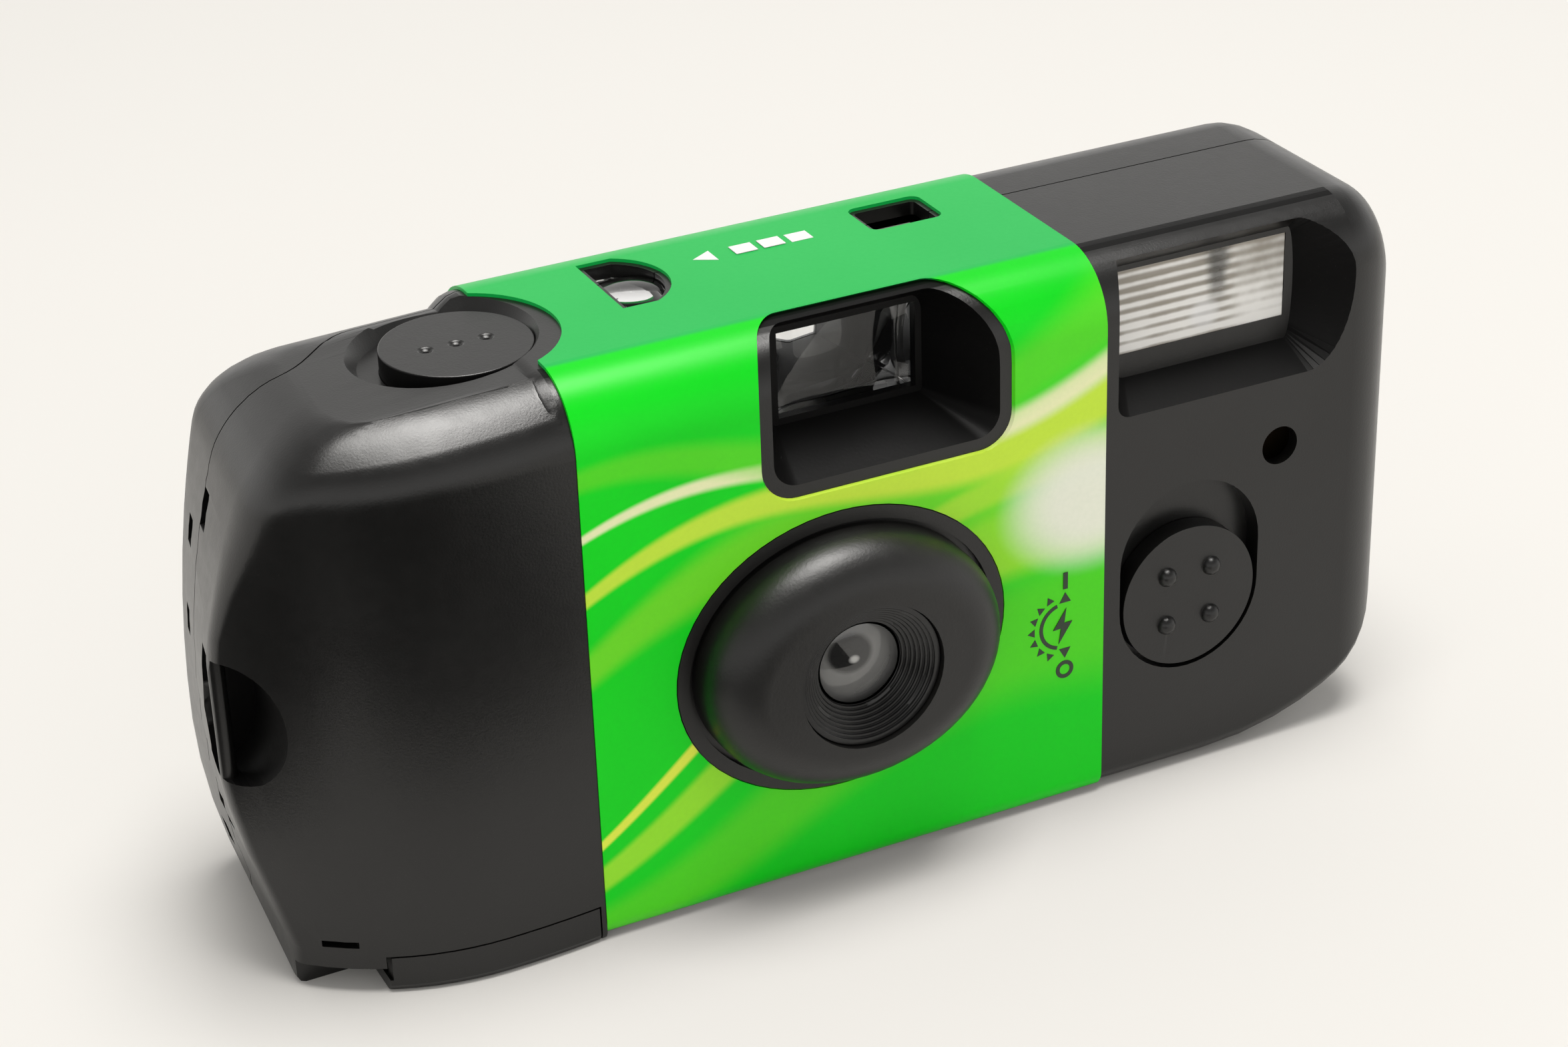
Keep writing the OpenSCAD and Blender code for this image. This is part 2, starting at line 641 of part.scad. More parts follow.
module front_cover() {
    color(black)
        difference() {
            union() {
                difference() {
                    union() {
                        intersection() {
                            case_skin();
                            front_side(0);
                        }
                        oval_plate(oval_a, oval_b, 0, case_front + tiny);
                        rod_y(0, lens_z, swell_b + 1, case_front + 0.5, case_front + wall + 0.2);
                    }
                    oval_plate(swell_a + 0.5, swell_b + 0.5, -1, case_front + 0.35);
                }
                lens_swell();
                backing(finder_left - mouth_left - 1, finder_right + mouth_right + 1,
                    finder_depth + 0.9, finder_z - 3.4);
                backing(flash_left - 2.9, flash_right + 4.6, flash_depth + 0.9, flash_z - 4.4);
                block([switch_x - switch_r - 1.6, 0.8, switch_z - switch_r - 1.6],
                    [switch_x + switch_r + 1.6, switch_floor + 1,
                        switch_z + switch_stroke + switch_r + 1.6]);
                intersection() {
                    rod_z(button_x, button_y, dish_r + 1, dish_under, body_h);
                    front_side(0);
                    union() {
                        case_form(0.4);
                        grip_form(0.2);
                    }
                }
                for (y = [button_y - 3.3, button_y + 2.5])
                    block([lever_x - 1, y, lever_z - 0.4], [lever_x + 1, y + 0.8, dish_under + tiny]);
                intersection() {
                    grip_form(0);
                    difference() {
                        union() {
                            block([left_x, -2, step_z], [lid_left - seam, step_back, step_z + wall]);
                            block([left_x, step_back, 0.4],
                                [lid_left - seam, step_back + 0.8, step_z + wall]);
                        }
                        rod_z(cart_x, cart_y, can_r + film_gap, 0, 9);
                    }
                }
                intersection() {
                    grip_form(0);
                    block([left_x, 1, strap_low - 1], [strap_right + 1, strap_back + 1, strap_top + 1]);
                }
            }
            finder_recess(-1, finder_depth, 0);
            block([finder_left + 0.6, finder_depth - 1, finder_z + 0.6],
                [finder_right - 0.6, finder_depth + 3, finder_top - 0.6]);
            flash_recess(-1, flash_depth);
            block([flash_left, flash_depth - 1, flash_z], [flash_right, flash_depth + 3, flash_top]);
            slot_y(switch_x, switch_z, switch_z + switch_stroke, switch_r + switch_gap, -1, switch_floor);
            block([switch_x - stem_w / 2 - slip, 1, switch_z - stem_h / 2 - slip],
                [switch_x + stem_w / 2 + slip, 6, switch_z + switch_stroke + stem_h / 2 + slip]);
            rod_y(switch_x + 9, switch_z + 12.5, 1.8, -1, 3);
            rod_y(0, lens_z, mouth_r, -lens_reach - 1, 0);
            rod_y(0, lens_z, barrel_out + slip, lens_front - 1, 9);
            dish(0);
            rod_z(button_x, button_y, button_r + running, dish_under - 1, body_h);
            rod_y(lever_x, lever_z + lever_t / 2, lever_pin_r + running, button_y - 4, button_y + 4);
            top_openings(case_top - 4, body_h, 0);
            rod_z(cart_x, cart_y, wheel_r + 0.25, wheel_low - slip, wheel_top + slip);
            door_room(seam);
            for (z = [film_low + 5.5, film_top - 1.5])
                block([left_x - 1, front_depth - 1.6, z], [left_x + 7, front_depth + 1, z + 3.2]);
            block([left_x - 1, -2, -1], [lid_left - seam / 2, step_back, step_z]);
            block([lid_left - 4.6, -1, step_z + 2], [lid_left - 2, 7, step_z + 2.6]);
            strap_hollow();
        }
}

// Thumb recess at the winding wheel
module thumb_dish(grow) {
    y = grip_back + 8.3;
    z = wheel_top - 0.3;
    rod_x(y, z, 10 + grow, cart_x - 3.5, cart_x + 3.5);
    for (x = [cart_x - 3.5, cart_x + 3.5])
        translate([x, y, z])
            sphere(r = 10 + grow);
}

module rear_cover() {
    color(black)
        difference() {
            union() {
                case_skin();
                intersection() {
                    thumb_dish(wall - 0.2);
                    grip_form(0.1);
                    block([cart_x - 20, cart_y, can_top + 0.3], [cart_x + 20, body_d, body_h]);
                }
            }
            front_side(-seam);
            top_openings(case_top - 4, body_h, 0);
            block([finder_x - eye_w / 2, film_y, eye_low], [finder_x + eye_w / 2, body_d + 1, eye_top]);
            rod_z(cart_x, cart_y, wheel_r + 0.4, wheel_low - 0.25, wheel_top + 0.25);
            thumb_dish(0);
            for (z = [film_low + 1, film_low + 22, film_top - 5])
                block([left_x - 1, front_depth + 3, z], [left_x + 8, front_depth + 4.6, z + 2.4]);
            door_room(seam);
        }
}

// Outline of the label round the case, as a flat shape
module band_outline(grow) {
    y0 = case_front - grow;
    y1 = case_back + grow;
    z0 = case_low - grow;
    z1 = case_top + grow;
    lower = bottom_r + grow;
    front = front_top_r + grow;
    back = back_top_r + grow;
    union() {
        translate([y0 + lower, z0])
            square([y1 - y0 - 2 * lower, z1 - z0 - back]);
        translate([y0, z0 + lower])
            square([y1 - y0, z1 - z0 - lower - back]);
        translate([y0 + front, z0 + lower])
            square([y1 - y0 - front - back, z1 - z0 - lower]);
        translate([y0 + lower, z0 + lower])
            circle(lower);
        translate([y1 - lower, z0 + lower])
            circle(lower);
        translate([y0 + front, z1 - front])
            circle(front);
        translate([y1 - back, z1 - back])
            circle(back);
        translate([y0, z1 - back - 1])
            square([front, back + 1 - front]);
    }
}

module label_band() {
    color([0.05, 0.65, 0.2])
        difference() {
            translate([label_left, 0, 0])
                rotate([90, 0, 90])
                    linear_extrude(label_w)
                        difference() {
                            band_outline(label_t);
                            band_outline(0);
                        }
            oval_plate(oval_a + 0.1, oval_b + 0.1, -1, 2);
            finder_recess(-1, finder_depth, 1.1);
            top_openings(case_top - 1, body_h + 1, 0.5);
            rod_z(button_x, button_y, dish_r - 0.5, case_top - 9, body_h + 1);
            block([finder_x - eye_w / 2 - 1, film_y, eye_low - 1],
                [finder_x + eye_w / 2 + 1, body_d + 1, eye_top + 1]);
        }
}

module cartridge_door() {
    color(black)
        intersection() {
            difference() {
                grip_form(0);
                grip_form(lid_t);
            }
            union() {
                block([lid_left, -2, -1], [lid_right, lid_back, lid_t + tiny]);
                block([lid_left + 0.25, -2, -1], [lid_right, 6.8, lid_lip]);
            }
        }
}

module shutter_button() {
    color(dark)
        difference() {
            button_shape();
            for (dx = [-2.6, 0, 2.6])
                translate([button_x + dx, button_y, button_top + 0.45])
                    sphere(r = 0.75);
        }
}

// Disc of the shutter button with its stem and two hooks
module button_shape() {
    union() {
        rod_z(button_x, button_y, button_r, dish_under + 0.6, button_top);
        rod_z(button_x, button_y, 0.8, lever_top + 0.05, dish_under + 1);
        for (side = [-1, 1])
            translate([button_x, button_y + side * (button_r - 0.9), dish_under - 0.9])
                translate([-1.5, -0.6, 0])
                    cube([3, 1.2, 2]);
        for (side = [-1, 1])
            translate([button_x - 1.5, button_y + side * (button_r + 0.05) - 0.55, dish_under - 0.9])
                cube([3, 1.1, 0.7]);
    }
}

module release_lever() {
    color(steel)
        union() {
            block([button_x - 1.4, button_y - 2, lever_z], [lever_x, button_y + 2, lever_top]);
            rod_y(lever_x, lever_z + lever_t / 2, 0.75, button_y - 2.3, button_y + 2.3);
            rod_y(lever_x, lever_z + lever_t / 2, lever_pin_r, button_y - 3.2, button_y + 3.2);
        }
}

module flash_switch() {
    color(dark)
        union() {
            rod_y(switch_x, switch_z, switch_r, switch_face, switch_floor - 0.1);
            for (sx = [-1, 1], sz = [-1, 1])
                translate([switch_x + sx * 2.25, switch_face + 0.1, switch_z + sz * 2.4])
                    sphere(r = 0.9);
            block([switch_x - stem_w / 2, 1, switch_z - stem_h / 2],
                [switch_x + stem_w / 2, switch_floor + 1.5, switch_z + stem_h / 2]);
            block([switch_x - 5, switch_floor + 1 + 0.1, switch_z - 3.6],
                [switch_x + 5, switch_floor + 1.1 + back_plate, switch_z + 3.6]);
        }
}

module ready_light_pipe() {
    y0 = switch_floor + 1.1;
    y1 = y0 + back_plate;
    z1 = light_top - 6;
    color([0.95, 0.55, 0.2, 0.7])
        union() {
            block([bar_x, y0, switch_z + 1], [switch_x - 5, y1, switch_z + 3]);
            block([bar_x, y0, switch_z + 1], [bar_x + bar_w, y1, z1 + 0.2]);
            block([bar_x, y0, z1 - 1], [bar_x + bar_w, light_y + 0.7, z1 + 0.2]);
            block([light_x, light_y - 0.7, z1 - 1], [bar_x + bar_w, light_y + 0.7, z1 + 0.2]);
            block([light_x - light_w / 2, light_y - light_d / 2, z1 - 1],
                [light_x + light_w / 2, light_y + light_d / 2, light_top]);
        }
}

module lens_ring() {
    outer = mouth_r - 0.1;
    front = -lens_reach + 0.5;
    back = lens_front - 0.1;
    step_y = (back - front) / ring_steps;
    step_r = (outer - 0.5 - (lens_r - 0.8)) / ring_steps;
    color(black)
        translate([0, back, lens_z])
            rotate([90, 0, 0])
                rotate_extrude()
                    polygon(concat([[outer, 0], [outer, back - front]],
                        [for (i = [0:ring_steps - 1], side = [0, 1])
                            [outer - 0.5 - i * step_r, back - front - (i + side) * step_y]],
                        [[lens_r - 0.8, 0]]));
}

// Lens with a bulging front and a hollow back, as half of its section
module taking_lens() {
    function bow(x, r) = r - sqrt(r * r - x * x);
    n = 8;
    color(clear)
        translate([0, lens_front, lens_z])
            rotate([-90, 0, 0])
                rotate_extrude()
                    polygon(concat([for (i = [0:n]) let (x = (lens_r - 0.6) * i / n) [x, bow(x, 9)]],
                        [[lens_r, bow(lens_r - 0.6, 9)], [lens_r, 1.9]],
                        [for (i = [n:-1:0]) let (x = (lens_r - 0.9) * i / n) [x,
                            1.9 - bow(lens_r - 0.9, 14) + bow(x, 14)]]));
}

module shutter_base() {
    color(dark)
        difference() {
            union() {
                block([-13, base_front, lens_z - 8.6], [12, base_front + base_t, lens_z + 10.6]);
                rod_y(0, lens_z, barrel_out, lens_front, base_front + tiny);
                rod_y(blade_pin_x, blade_pin_z, pin_r, base_front + 0.5, blade_y + blade_t + 0.6);
                for (x = [-11.6, 10.6], z = [-7.2, 9.2])
                    rod_y(x, lens_z + z, 1.1, base_front + 0.5, box_front);
            }
            rod_y(0, lens_z, lens_r + running, lens_front - 1, lens_front + 2);
            rod_y(0, lens_z, lens_r - 0.9, lens_front, base_front);
            rod_y(0, lens_z, stop_r, 0, 9);
        }
}

module shutter_blade() {
    away = atan2(blade_pin_z - lens_z, blade_pin_x);
    reach = norm([blade_pin_x, blade_pin_z - lens_z]);
    color(steel)
        difference() {
            union() {
                rod_y(0, lens_z, stop_r + 1.3, blade_y, blade_y + blade_t);
                rod_y(blade_pin_x, blade_pin_z, pin_r + 0.9, blade_y, blade_y + blade_t);
                translate([blade_pin_x, blade_y, blade_pin_z])
                    rotate([0, -away, 0])
                        translate([-reach, 0, -0.9])
                            cube([reach, blade_t, 1.8]);
            }
            rod_y(blade_pin_x, blade_pin_z, pin_r + running, blade_y - 1, blade_y + 1);
        }
}

// Short stack of turns round a pin along Y
module turns_y(x, z, r, wire, y0, count) {
    for (i = [0:count - 1])
        translate([x, y0 + wire + 1.8 * wire * i, z])
            rotate([-90, 0, 0])
                rotate_extrude()
                    translate([r, 0])
                        circle(wire);
}

module shutter_spring() {
    color(steel)
        turns_y(blade_pin_x, blade_pin_z, pin_r + 0.3, 0.14, blade_y + blade_t + 0.08, 2);
}

module drive_lever() {
    z0 = deck_z + deck_t + 0.1;
    color(dark)
        difference() {
            union() {
                rod_z(drive_x, drive_y, 2.2, z0, z0 + 1);
                block([drive_x, drive_y - 1, z0], [drive_x + 5, drive_y + 1, z0 + 1]);
                block([drive_x - 1, drive_y - 4.4, z0], [drive_x + 1, drive_y, z0 + 1]);
            }
            rod_z(drive_x, drive_y, post_r + running, z0 - 1, z0 + 3);
        }
}

module drive_spring() {
    z0 = deck_z + deck_t + 1.15;
    color(steel)
        for (i = [0:2])
            translate([drive_x, drive_y, z0 + 0.2 + 0.36 * i])
                rotate_extrude()
                    translate([post_r + 0.35, 0])
                        circle(0.2);
}

module finder_front_lens() {
    y0 = finder_depth + 1;
    y1 = y0 + finder_t;
    half = finder_w / 2 - 0.1;
    z0 = finder_z - 0.3;
    z1 = finder_top + 0.1;
    r = (half * half + finder_hollow * finder_hollow) / (2 * finder_hollow);
    color(clear)
        difference() {
            block([finder_x - half, y0, z0], [finder_x + half, y1, z1]);
            for (y = [y0 + finder_hollow - r, y1 - finder_hollow + r])
                translate([finder_x, y, (z0 + z1) / 2])
                    sphere(r = r);
        }
}

module finder_eye_lens() {
    color(clear)
        block([finder_x - eye_w / 2 + 0.1, film_y + 0.8, eye_low + 0.1],
            [finder_x + eye_w / 2 - 0.1, film_y + 2, eye_top - 0.1]);
}

module counter_magnifier() {
    gap = 0.1;
    dome = counter_d;
    color(clear)
        union() {
            intersection() {
                counter_shape(case_top - wall - 1, case_top, -gap);
                translate([counter_x, counter_y, case_top - 0.2 - dome])
                    sphere(r = dome);
            }
            counter_shape(case_top - wall - 1, case_top - wall - 0.1, 0.6);
        }
}

module counter_dial() {
    color([0.92, 0.92, 0.9])
        difference() {
            union() {
                rod_z(dial_x, dial_y, dial_r, dial_z, dial_z + 0.9);
                rod_z(dial_x, dial_y, post_r + 1, dial_z - 0.8, dial_z + tiny);
            }
            rod_z(dial_x, dial_y, post_r + running, dial_z - 2, dial_z + 3);
        }
}

// Walls of the film frame's light box, wide at the film and narrow at the shutter
module light_box(grow) {
    half_w = 6.5;
    half_h = 5.5;
    funnel(box_front - grow / 2, [-half_w - grow, lens_z - half_h - grow],
        [half_w + grow, lens_z + half_h + grow],
        gate_front + grow, [-gate_w / 2 - grow, lens_z - gate_h / 2 - grow],
            [gate_w / 2 + grow, lens_z + gate_h / 2 + grow]);
}

// Open half round chamber with straight cheeks towards the film
module chamber(x, y, r_in, r_out, z0, z1, cheek_left, cheek_right) {
    difference() {
        union() {
            intersection() {
                rod_z(x, y, r_out, z0, z1);
                block([x - r_out, y - r_out, z0], [x + r_out, y, z1]);
            }
            block([x - r_out, y - tiny, z0], [x - r_in, y + cheek_left, z1]);
            block([x + r_in, y - tiny, z0], [x + r_out, y + cheek_right, z1]);
        }
        rod_z(x, y, r_in, z0 - 1, z1 + 1);
    }
}

module film_frame() {
    color(dark)
        difference() {
            union() {
                block([cart_x + chamber_r - chamber_t, gate_front, film_low - 1],
                    [roll_x - roll_out_r + chamber_t, gate_front + gate_t, film_top + 0.6]);
                light_box(box_t);
                block([-13, box_front, lens_z - 8.6], [12, box_front + box_t, lens_z + 10.6]);
                chamber(cart_x, cart_y, can_r + film_gap, chamber_r, step_z + wall + 0.6,
                    can_top - 0.6,
                    5, gate_front - cart_y + 1);
                for (x = [cart_x - chamber_r, cart_x + chamber_r - chamber_t])
                    block([x, cart_y, plate_top - 9], [x + chamber_t, cart_y + 5, plate_top]);
                difference() {
                    union() {
                        intersection() {
                            rod_z(cart_x, cart_y, can_r + film_gap, plate_top - plate_t, plate_top);
                            block([cart_x - 20, cart_y - 20, 0], [cart_x + 20, cart_y, 60]);
                        }
                        block([cart_x - chamber_r, cart_y - tiny, plate_top - plate_t],
                            [cart_x + chamber_r, cart_y + 8, plate_top]);
                    }
                    rod_z(cart_x, cart_y, hub_r + running, 0, 60);
                }
                chamber(roll_x, roll_y, roll_room_r, roll_out_r, roll_floor - end_t, roll_ceiling + end_t,
                    gate_front - roll_y + 1, 3);
                for (z = [roll_floor - end_t, roll_ceiling])
                    difference() {
                        rod_z(roll_x, roll_y, roll_out_r - 0.1, z, z + end_t);
                        block([roll_x - 20, roll_y + 5, z - 1], [roll_x + 20, roll_y + 20, z + 3]);
                    }
                block([cart_x + chamber_r - chamber_t, drive_y - 4.5, deck_z],
                    [finder_left - mouth_left - 1.4, gate_front + gate_t, deck_z + deck_t]);
                block([sprocket_x, finder_depth + finder_t + 1.4, deck_z],
                    [finder_left - 0.4, gate_front + gate_t, deck_z + deck_t]);
                block([cart_x + chamber_r - chamber_t, gate_front, film_top],
                    [finder_left - 0.4, gate_front + gate_t, deck_z + deck_t]);
                block([sprocket_x - 3, sprocket_y - 3, sprocket_z - 2.4],
                    [sprocket_x + 3, gate_front + 1, sprocket_z - 1]);
                rod_z(dial_x, dial_y, post_r, deck_z, dial_z + 0.8);
                rod_z(drive_x, drive_y, post_r, deck_z, deck_z + deck_t + 2.4);
                funnel(finder_depth + 1 + finder_t + 0.1, [finder_left - 1, finder_z - 1.2],
                    [finder_right + 0.9, finder_top + 0.3],
                    film_y + 0.6, [finder_x - eye_w / 2 - 1.2, eye_low - 1],
                        [finder_x + eye_w / 2 + 1.2, eye_top + 0.3]);
                for (z = [film_low + 4, film_top - 10])
                    block([roll_x - 1.5, board_y + board_t, z],
                        [roll_x + 1.5, roll_y - roll_room_r - 0.2, z + 3]);
                for (x = [-12, 12])
                    block([x, battery_y, battery_z - 3], [x + 1, battery_y + 9, lens_z - 9]);
            }
            light_box(0);
            block([-gate_w / 2, gate_front - 1, lens_z - gate_h / 2],
                [gate_w / 2, film_y + 1, lens_z + gate_h / 2]);
            block([-6.5, box_front - 2, lens_z - 5.5], [6.5, box_front + 2, lens_z + 5.5]);
            rod_y(blade_pin_x, blade_pin_z, pin_r + 1.2, box_front - 1, box_front + 3);
            rod_z(sprocket_x, sprocket_y, shaft_r + running, sprocket_z - 9, 60);
            rod_z(sprocket_x, sprocket_y, sprocket_r + 0.4, sprocket_z - 0.8, sprocket_z + 3.6);
            rod_z(roll_x, roll_y, 2 + running, 0, 60);
            funnel(finder_depth, [finder_left + 0.2, finder_z - 0.1],
                [finder_right - 0.2, finder_top - 0.4],
                film_y + 1, [finder_x - eye_w / 2, eye_low], [finder_x + eye_w / 2, eye_top]);
            rod_x(battery_y, battery_z, battery_r + 0.1, -30, 40);
            rod_z(cart_x, cart_y, can_r + film_gap, 0, plate_top - plate_t);
        }
}

module wind_wheel() {
    color(dark)
        difference() {
            union() {
                rod_z(cart_x, cart_y, wheel_r, wheel_low, wheel_top);
                rod_z(cart_x, cart_y, hub_r, can_top - 1.1, wheel_low + tiny);
            }
            for (i = [0:wheel_grips - 1])
                rotate_about(cart_x, cart_y, 360 / wheel_grips * i)
                    rod_z(cart_x + wheel_r + 0.1, cart_y, 0.4, wheel_low - 1, wheel_top + 1);
            rod_z(cart_x, cart_y, wheel_r - 2.2, wheel_top - 0.7, wheel_top + 1);
            block([cart_x - 1.2, cart_y - 9, can_top - 3], [cart_x + 1.2, cart_y + 9, can_top - 0.5]);
        }
}

// Turns a shape about an upright axis
module rotate_about(x, y, angle) {
    translate([x, y, 0])
        rotate([0, 0, angle])
            translate([-x, -y, 0])
                children();
}

module cartridge_spool() {
    color(dark)
        difference() {
            union() {
                rod_z(cart_x, cart_y, hub_r, can_low + 0.2, film_top + 0.5);
                for (z = [film_low - 0.8, film_top + 0.4])
                    rod_z(cart_x, cart_y, can_r - can_t - 0.4, z, z + 0.4);
                block([cart_x - 1, cart_y - 4, film_top - 1], [cart_x + 1, cart_y + 4, can_top - 0.6]);
            }
            rod_z(cart_x, cart_y, hub_r - 1, 0, film_top - 2);
        }
}

module film_cartridge() {
    color([0.15, 0.3, 0.2])
        difference() {
            rod_z(cart_x, cart_y, can_r, can_low, can_top);
            rod_z(cart_x, cart_y, can_r - can_t, can_low + can_t, can_top - can_t);
            rod_z(cart_x, cart_y, hub_r + 0.3, can_low - 1, can_top + 1);
            block([cart_x + 0.5, film_y - 0.4, film_low - 0.3],
                [cart_x + 20, film_y + film_t + 0.4, film_top + 0.3]);
        }
}

module film_strip() {
    color([0.35, 0.2, 0.12])
        block([cart_x + 1, film_y, film_low], [roll_x, film_y + film_t, film_top]);
}

module film_roll() {
    color([0.3, 0.18, 0.12])
        difference() {
            rod_z(roll_x, roll_y, roll_r - 0.02, film_low, film_top);
            rod_z(roll_x, roll_y, 4.5, film_low - 1, film_top + 1);
        }
}

module supply_spool() {
    color(dark)
        union() {
            rod_z(roll_x, roll_y, 4.5, film_low - 0.2, film_top + 0.2);
            rod_z(roll_x, roll_y, 2, roll_floor - end_t + 0.1, roll_ceiling + end_t - 0.1);
        }
}

module sprocket() {
    teeth = 8;
    color([0.8, 0.8, 0.78])
        union() {
            rod_z(sprocket_x, sprocket_y, sprocket_r - 0.9, sprocket_z - 0.4, sprocket_z + 3);
            for (i = [0:teeth - 1])
                rotate_about(sprocket_x, sprocket_y, 360 / teeth * (i + 0.5))
                    block([sprocket_x, sprocket_y - 0.6, sprocket_z + 0.6],
                        [sprocket_x + sprocket_r, sprocket_y + 0.6, sprocket_z + 2.2]);
            rod_z(sprocket_x, sprocket_y, shaft_r, sprocket_z - 2.2, deck_z + deck_t + 1.4);
            rod_z(sprocket_x, sprocket_y, 2, deck_z + deck_t + 0.15, deck_z + deck_t + 1.4);
        }
}

module flash_window() {
    gap = 0.1;
    color(clear)
        union() {
            block([flash_left + gap, flash_depth + 0.1, flash_z + gap],
                [flash_right - gap, flash_depth + 0.95, flash_top - gap]);
            block([flash_left - 0.7, flash_depth + 0.95, flash_z - 0.7],
                [flash_right + 0.7, flash_depth + 1.75, flash_top + 0.2]);
        }
}

// Half height of the reflector's trough at a distance from its back
function trough(s, depth, half) = half * sqrt(s / depth);

module flash_reflector() {
    front = flash_depth + 1.8;
    depth = 6;
    half = flash_h / 2 - 0.2;
    skin = 0.4;
    steps = [for (i = [0:8]) depth * i / 8];
    color(steel)
        difference() {
            translate([flash_left + 0.2, 0, 0])
                rotate([90, 0, 90])
                    linear_extrude(flash_w - 0.4)
                        polygon(concat([for (s = steps) [front + depth - s,
                            flash_mid + trough(s, depth, half) + skin]],
                            [for (i = [8:-1:0]) [front + depth - steps[i],
                                flash_mid - trough(steps[i], depth, half) - skin]]));
            translate([flash_left + 0.6, 0, 0])
                rotate([90, 0, 90])
                    linear_extrude(flash_w - 1.2)
                        polygon(concat([for (s = steps) [front + depth - 0.4 - s,
                            flash_mid + trough(s, depth, half)]],
                            [for (i = [8:-1:0]) [front + depth - 0.4 - steps[i],
                                flash_mid - trough(steps[i], depth, half)]]));
            rod_x(front + depth - 2, flash_mid, tube_r + 0.15, flash_left - 2, flash_right + 2);
        }
}

module flash_tube() {
    y = flash_depth + 1.8 + 6 - 2;
    color([0.9, 0.93, 0.95])
        union() {
            rod_x(y, flash_mid, tube_r, flash_left - 0.6, flash_right + 0.6);
            rod_x(y, flash_mid, 0.4, flash_left - 1.4, flash_right + 1.4);
        }
}

module circuit_board() {
    board_right = right_x - wall - 2.4;
    z0 = film_low - 0.6;
    color([0.2, 0.35, 0.2])
        translate([0, board_y + board_t, 0])
            rotate([90, 0, 0])
                linear_extrude(board_t)
                    polygon([[board_left, z0], [board_right - 9, z0], [board_right, z0 + corner_h / 2],
                        [board_right, flash_z - 4.8], [board_left, flash_z - 4.8]]);
}

module flash_capacitor() {
    y = roll_y - 0.6;
    z0 = film_low + 0.36 * corner_h;
    color([0.1, 0.12, 0.2])
        union() {
            rod_z(cap_x, y, cap_r, z0, z0 + cap_len);
            for (dx = [-1.2, 1.2])
                block([cap_x + dx - 0.3, board_y + board_t, z0 + cap_len - 3],
                    [cap_x + dx + 0.3, y - cap_r + 0.8, z0 + cap_len - 2.4]);
        }
}

module flash_transformer() {
    color([0.75, 0.55, 0.15])
        block([cap_x - 5.2, board_y + board_t, film_low + 2.4],
            [cap_x + 2.6, roll_y - cap_r - 1.4, film_low + 11]);
}

module trigger_coil() {
    color([0.6, 0.35, 0.15])
        union() {
            rod_y(cap_x - 3, film_low + 16.4, 2.2, board_y + board_t, board_y + board_t + 3.6);
            rod_y(cap_x - 3, film_low + 16.4, 2.8, board_y + board_t + 3, board_y + board_t + 3.8);
        }
}

module battery() {
    color([0.25, 0.3, 0.55])
        union() {
            rod_x(battery_y, battery_z, battery_r, battery_x, battery_x + battery_len);
            rod_x(battery_y, battery_z, 1.9, battery_x + battery_len - tiny, battery_x + battery_len + 1);
        }
}

module battery_contact_plus() {
    x = battery_x + battery_len + 1;
    color(steel)
        union() {
            block([x, battery_y - 3.4, battery_z - 3], [x + 0.4, battery_y + 1, battery_z + 3]);
            block([x, board_y - 0.4, battery_z - 1], [board_left + 1.5, board_y, battery_z + 1]);
        }
}

module battery_contact_minus() {
    color(steel)
        union() {
            block([battery_x - 0.4, battery_y - 3.4, battery_z - 3],
                [battery_x, battery_y + 3, battery_z + 3]);
            block([battery_x - 0.4, battery_y - 3.4, battery_z + 3 - tiny],
                [battery_x, battery_y - 1, battery_z + 6]);
        }
}

module switch_contact() {
    color([0.85, 0.7, 0.3])
        union() {
            block([switch_x - 3, board_y - 0.25, switch_z - 5], [switch_x + 3, board_y, switch_z - 3]);
            block([switch_x - 1, board_y - 0.6, switch_z - 3.2],
                [switch_x + 1, board_y - 0.35, switch_z + 6]);
            block([switch_x - 1, board_y - 0.6, switch_z - 3.6],
                [switch_x + 1, board_y - 0.1, switch_z - 3]);
        }
}

module sync_contact() {
    color([0.85, 0.7, 0.3])
        block([11.4, base_front + base_t, lens_z + 4], [11.8, box_front, lens_z + 8]);
}

place() front_cover();
place() rear_cover();
place() label_band();
place() cartridge_door();
place() shutter_button();
place() release_lever();
place() flash_switch();
place() ready_light_pipe();
place() lens_ring();
place() taking_lens();
place() shutter_base();
place() shutter_blade();
place() shutter_spring();
place() drive_lever();
place() drive_spring();
place() finder_front_lens();
place() finder_eye_lens();
place() counter_magnifier();
place() counter_dial();
place() film_frame();
place() wind_wheel();
place() cartridge_spool();
place() film_cartridge();
place() film_strip();
place() film_roll();
place() supply_spool();
place() sprocket();
place() flash_window();
place() flash_reflector();
place() flash_tube();
place() circuit_board();
place() flash_capacitor();
place() flash_transformer();
place() trigger_coil();
place() battery();
place() battery_contact_plus();
place() battery_contact_minus();
place() switch_contact();
place() sync_contact();
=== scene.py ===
import math

import bmesh
import bpy
from mathutils import Matrix, Vector


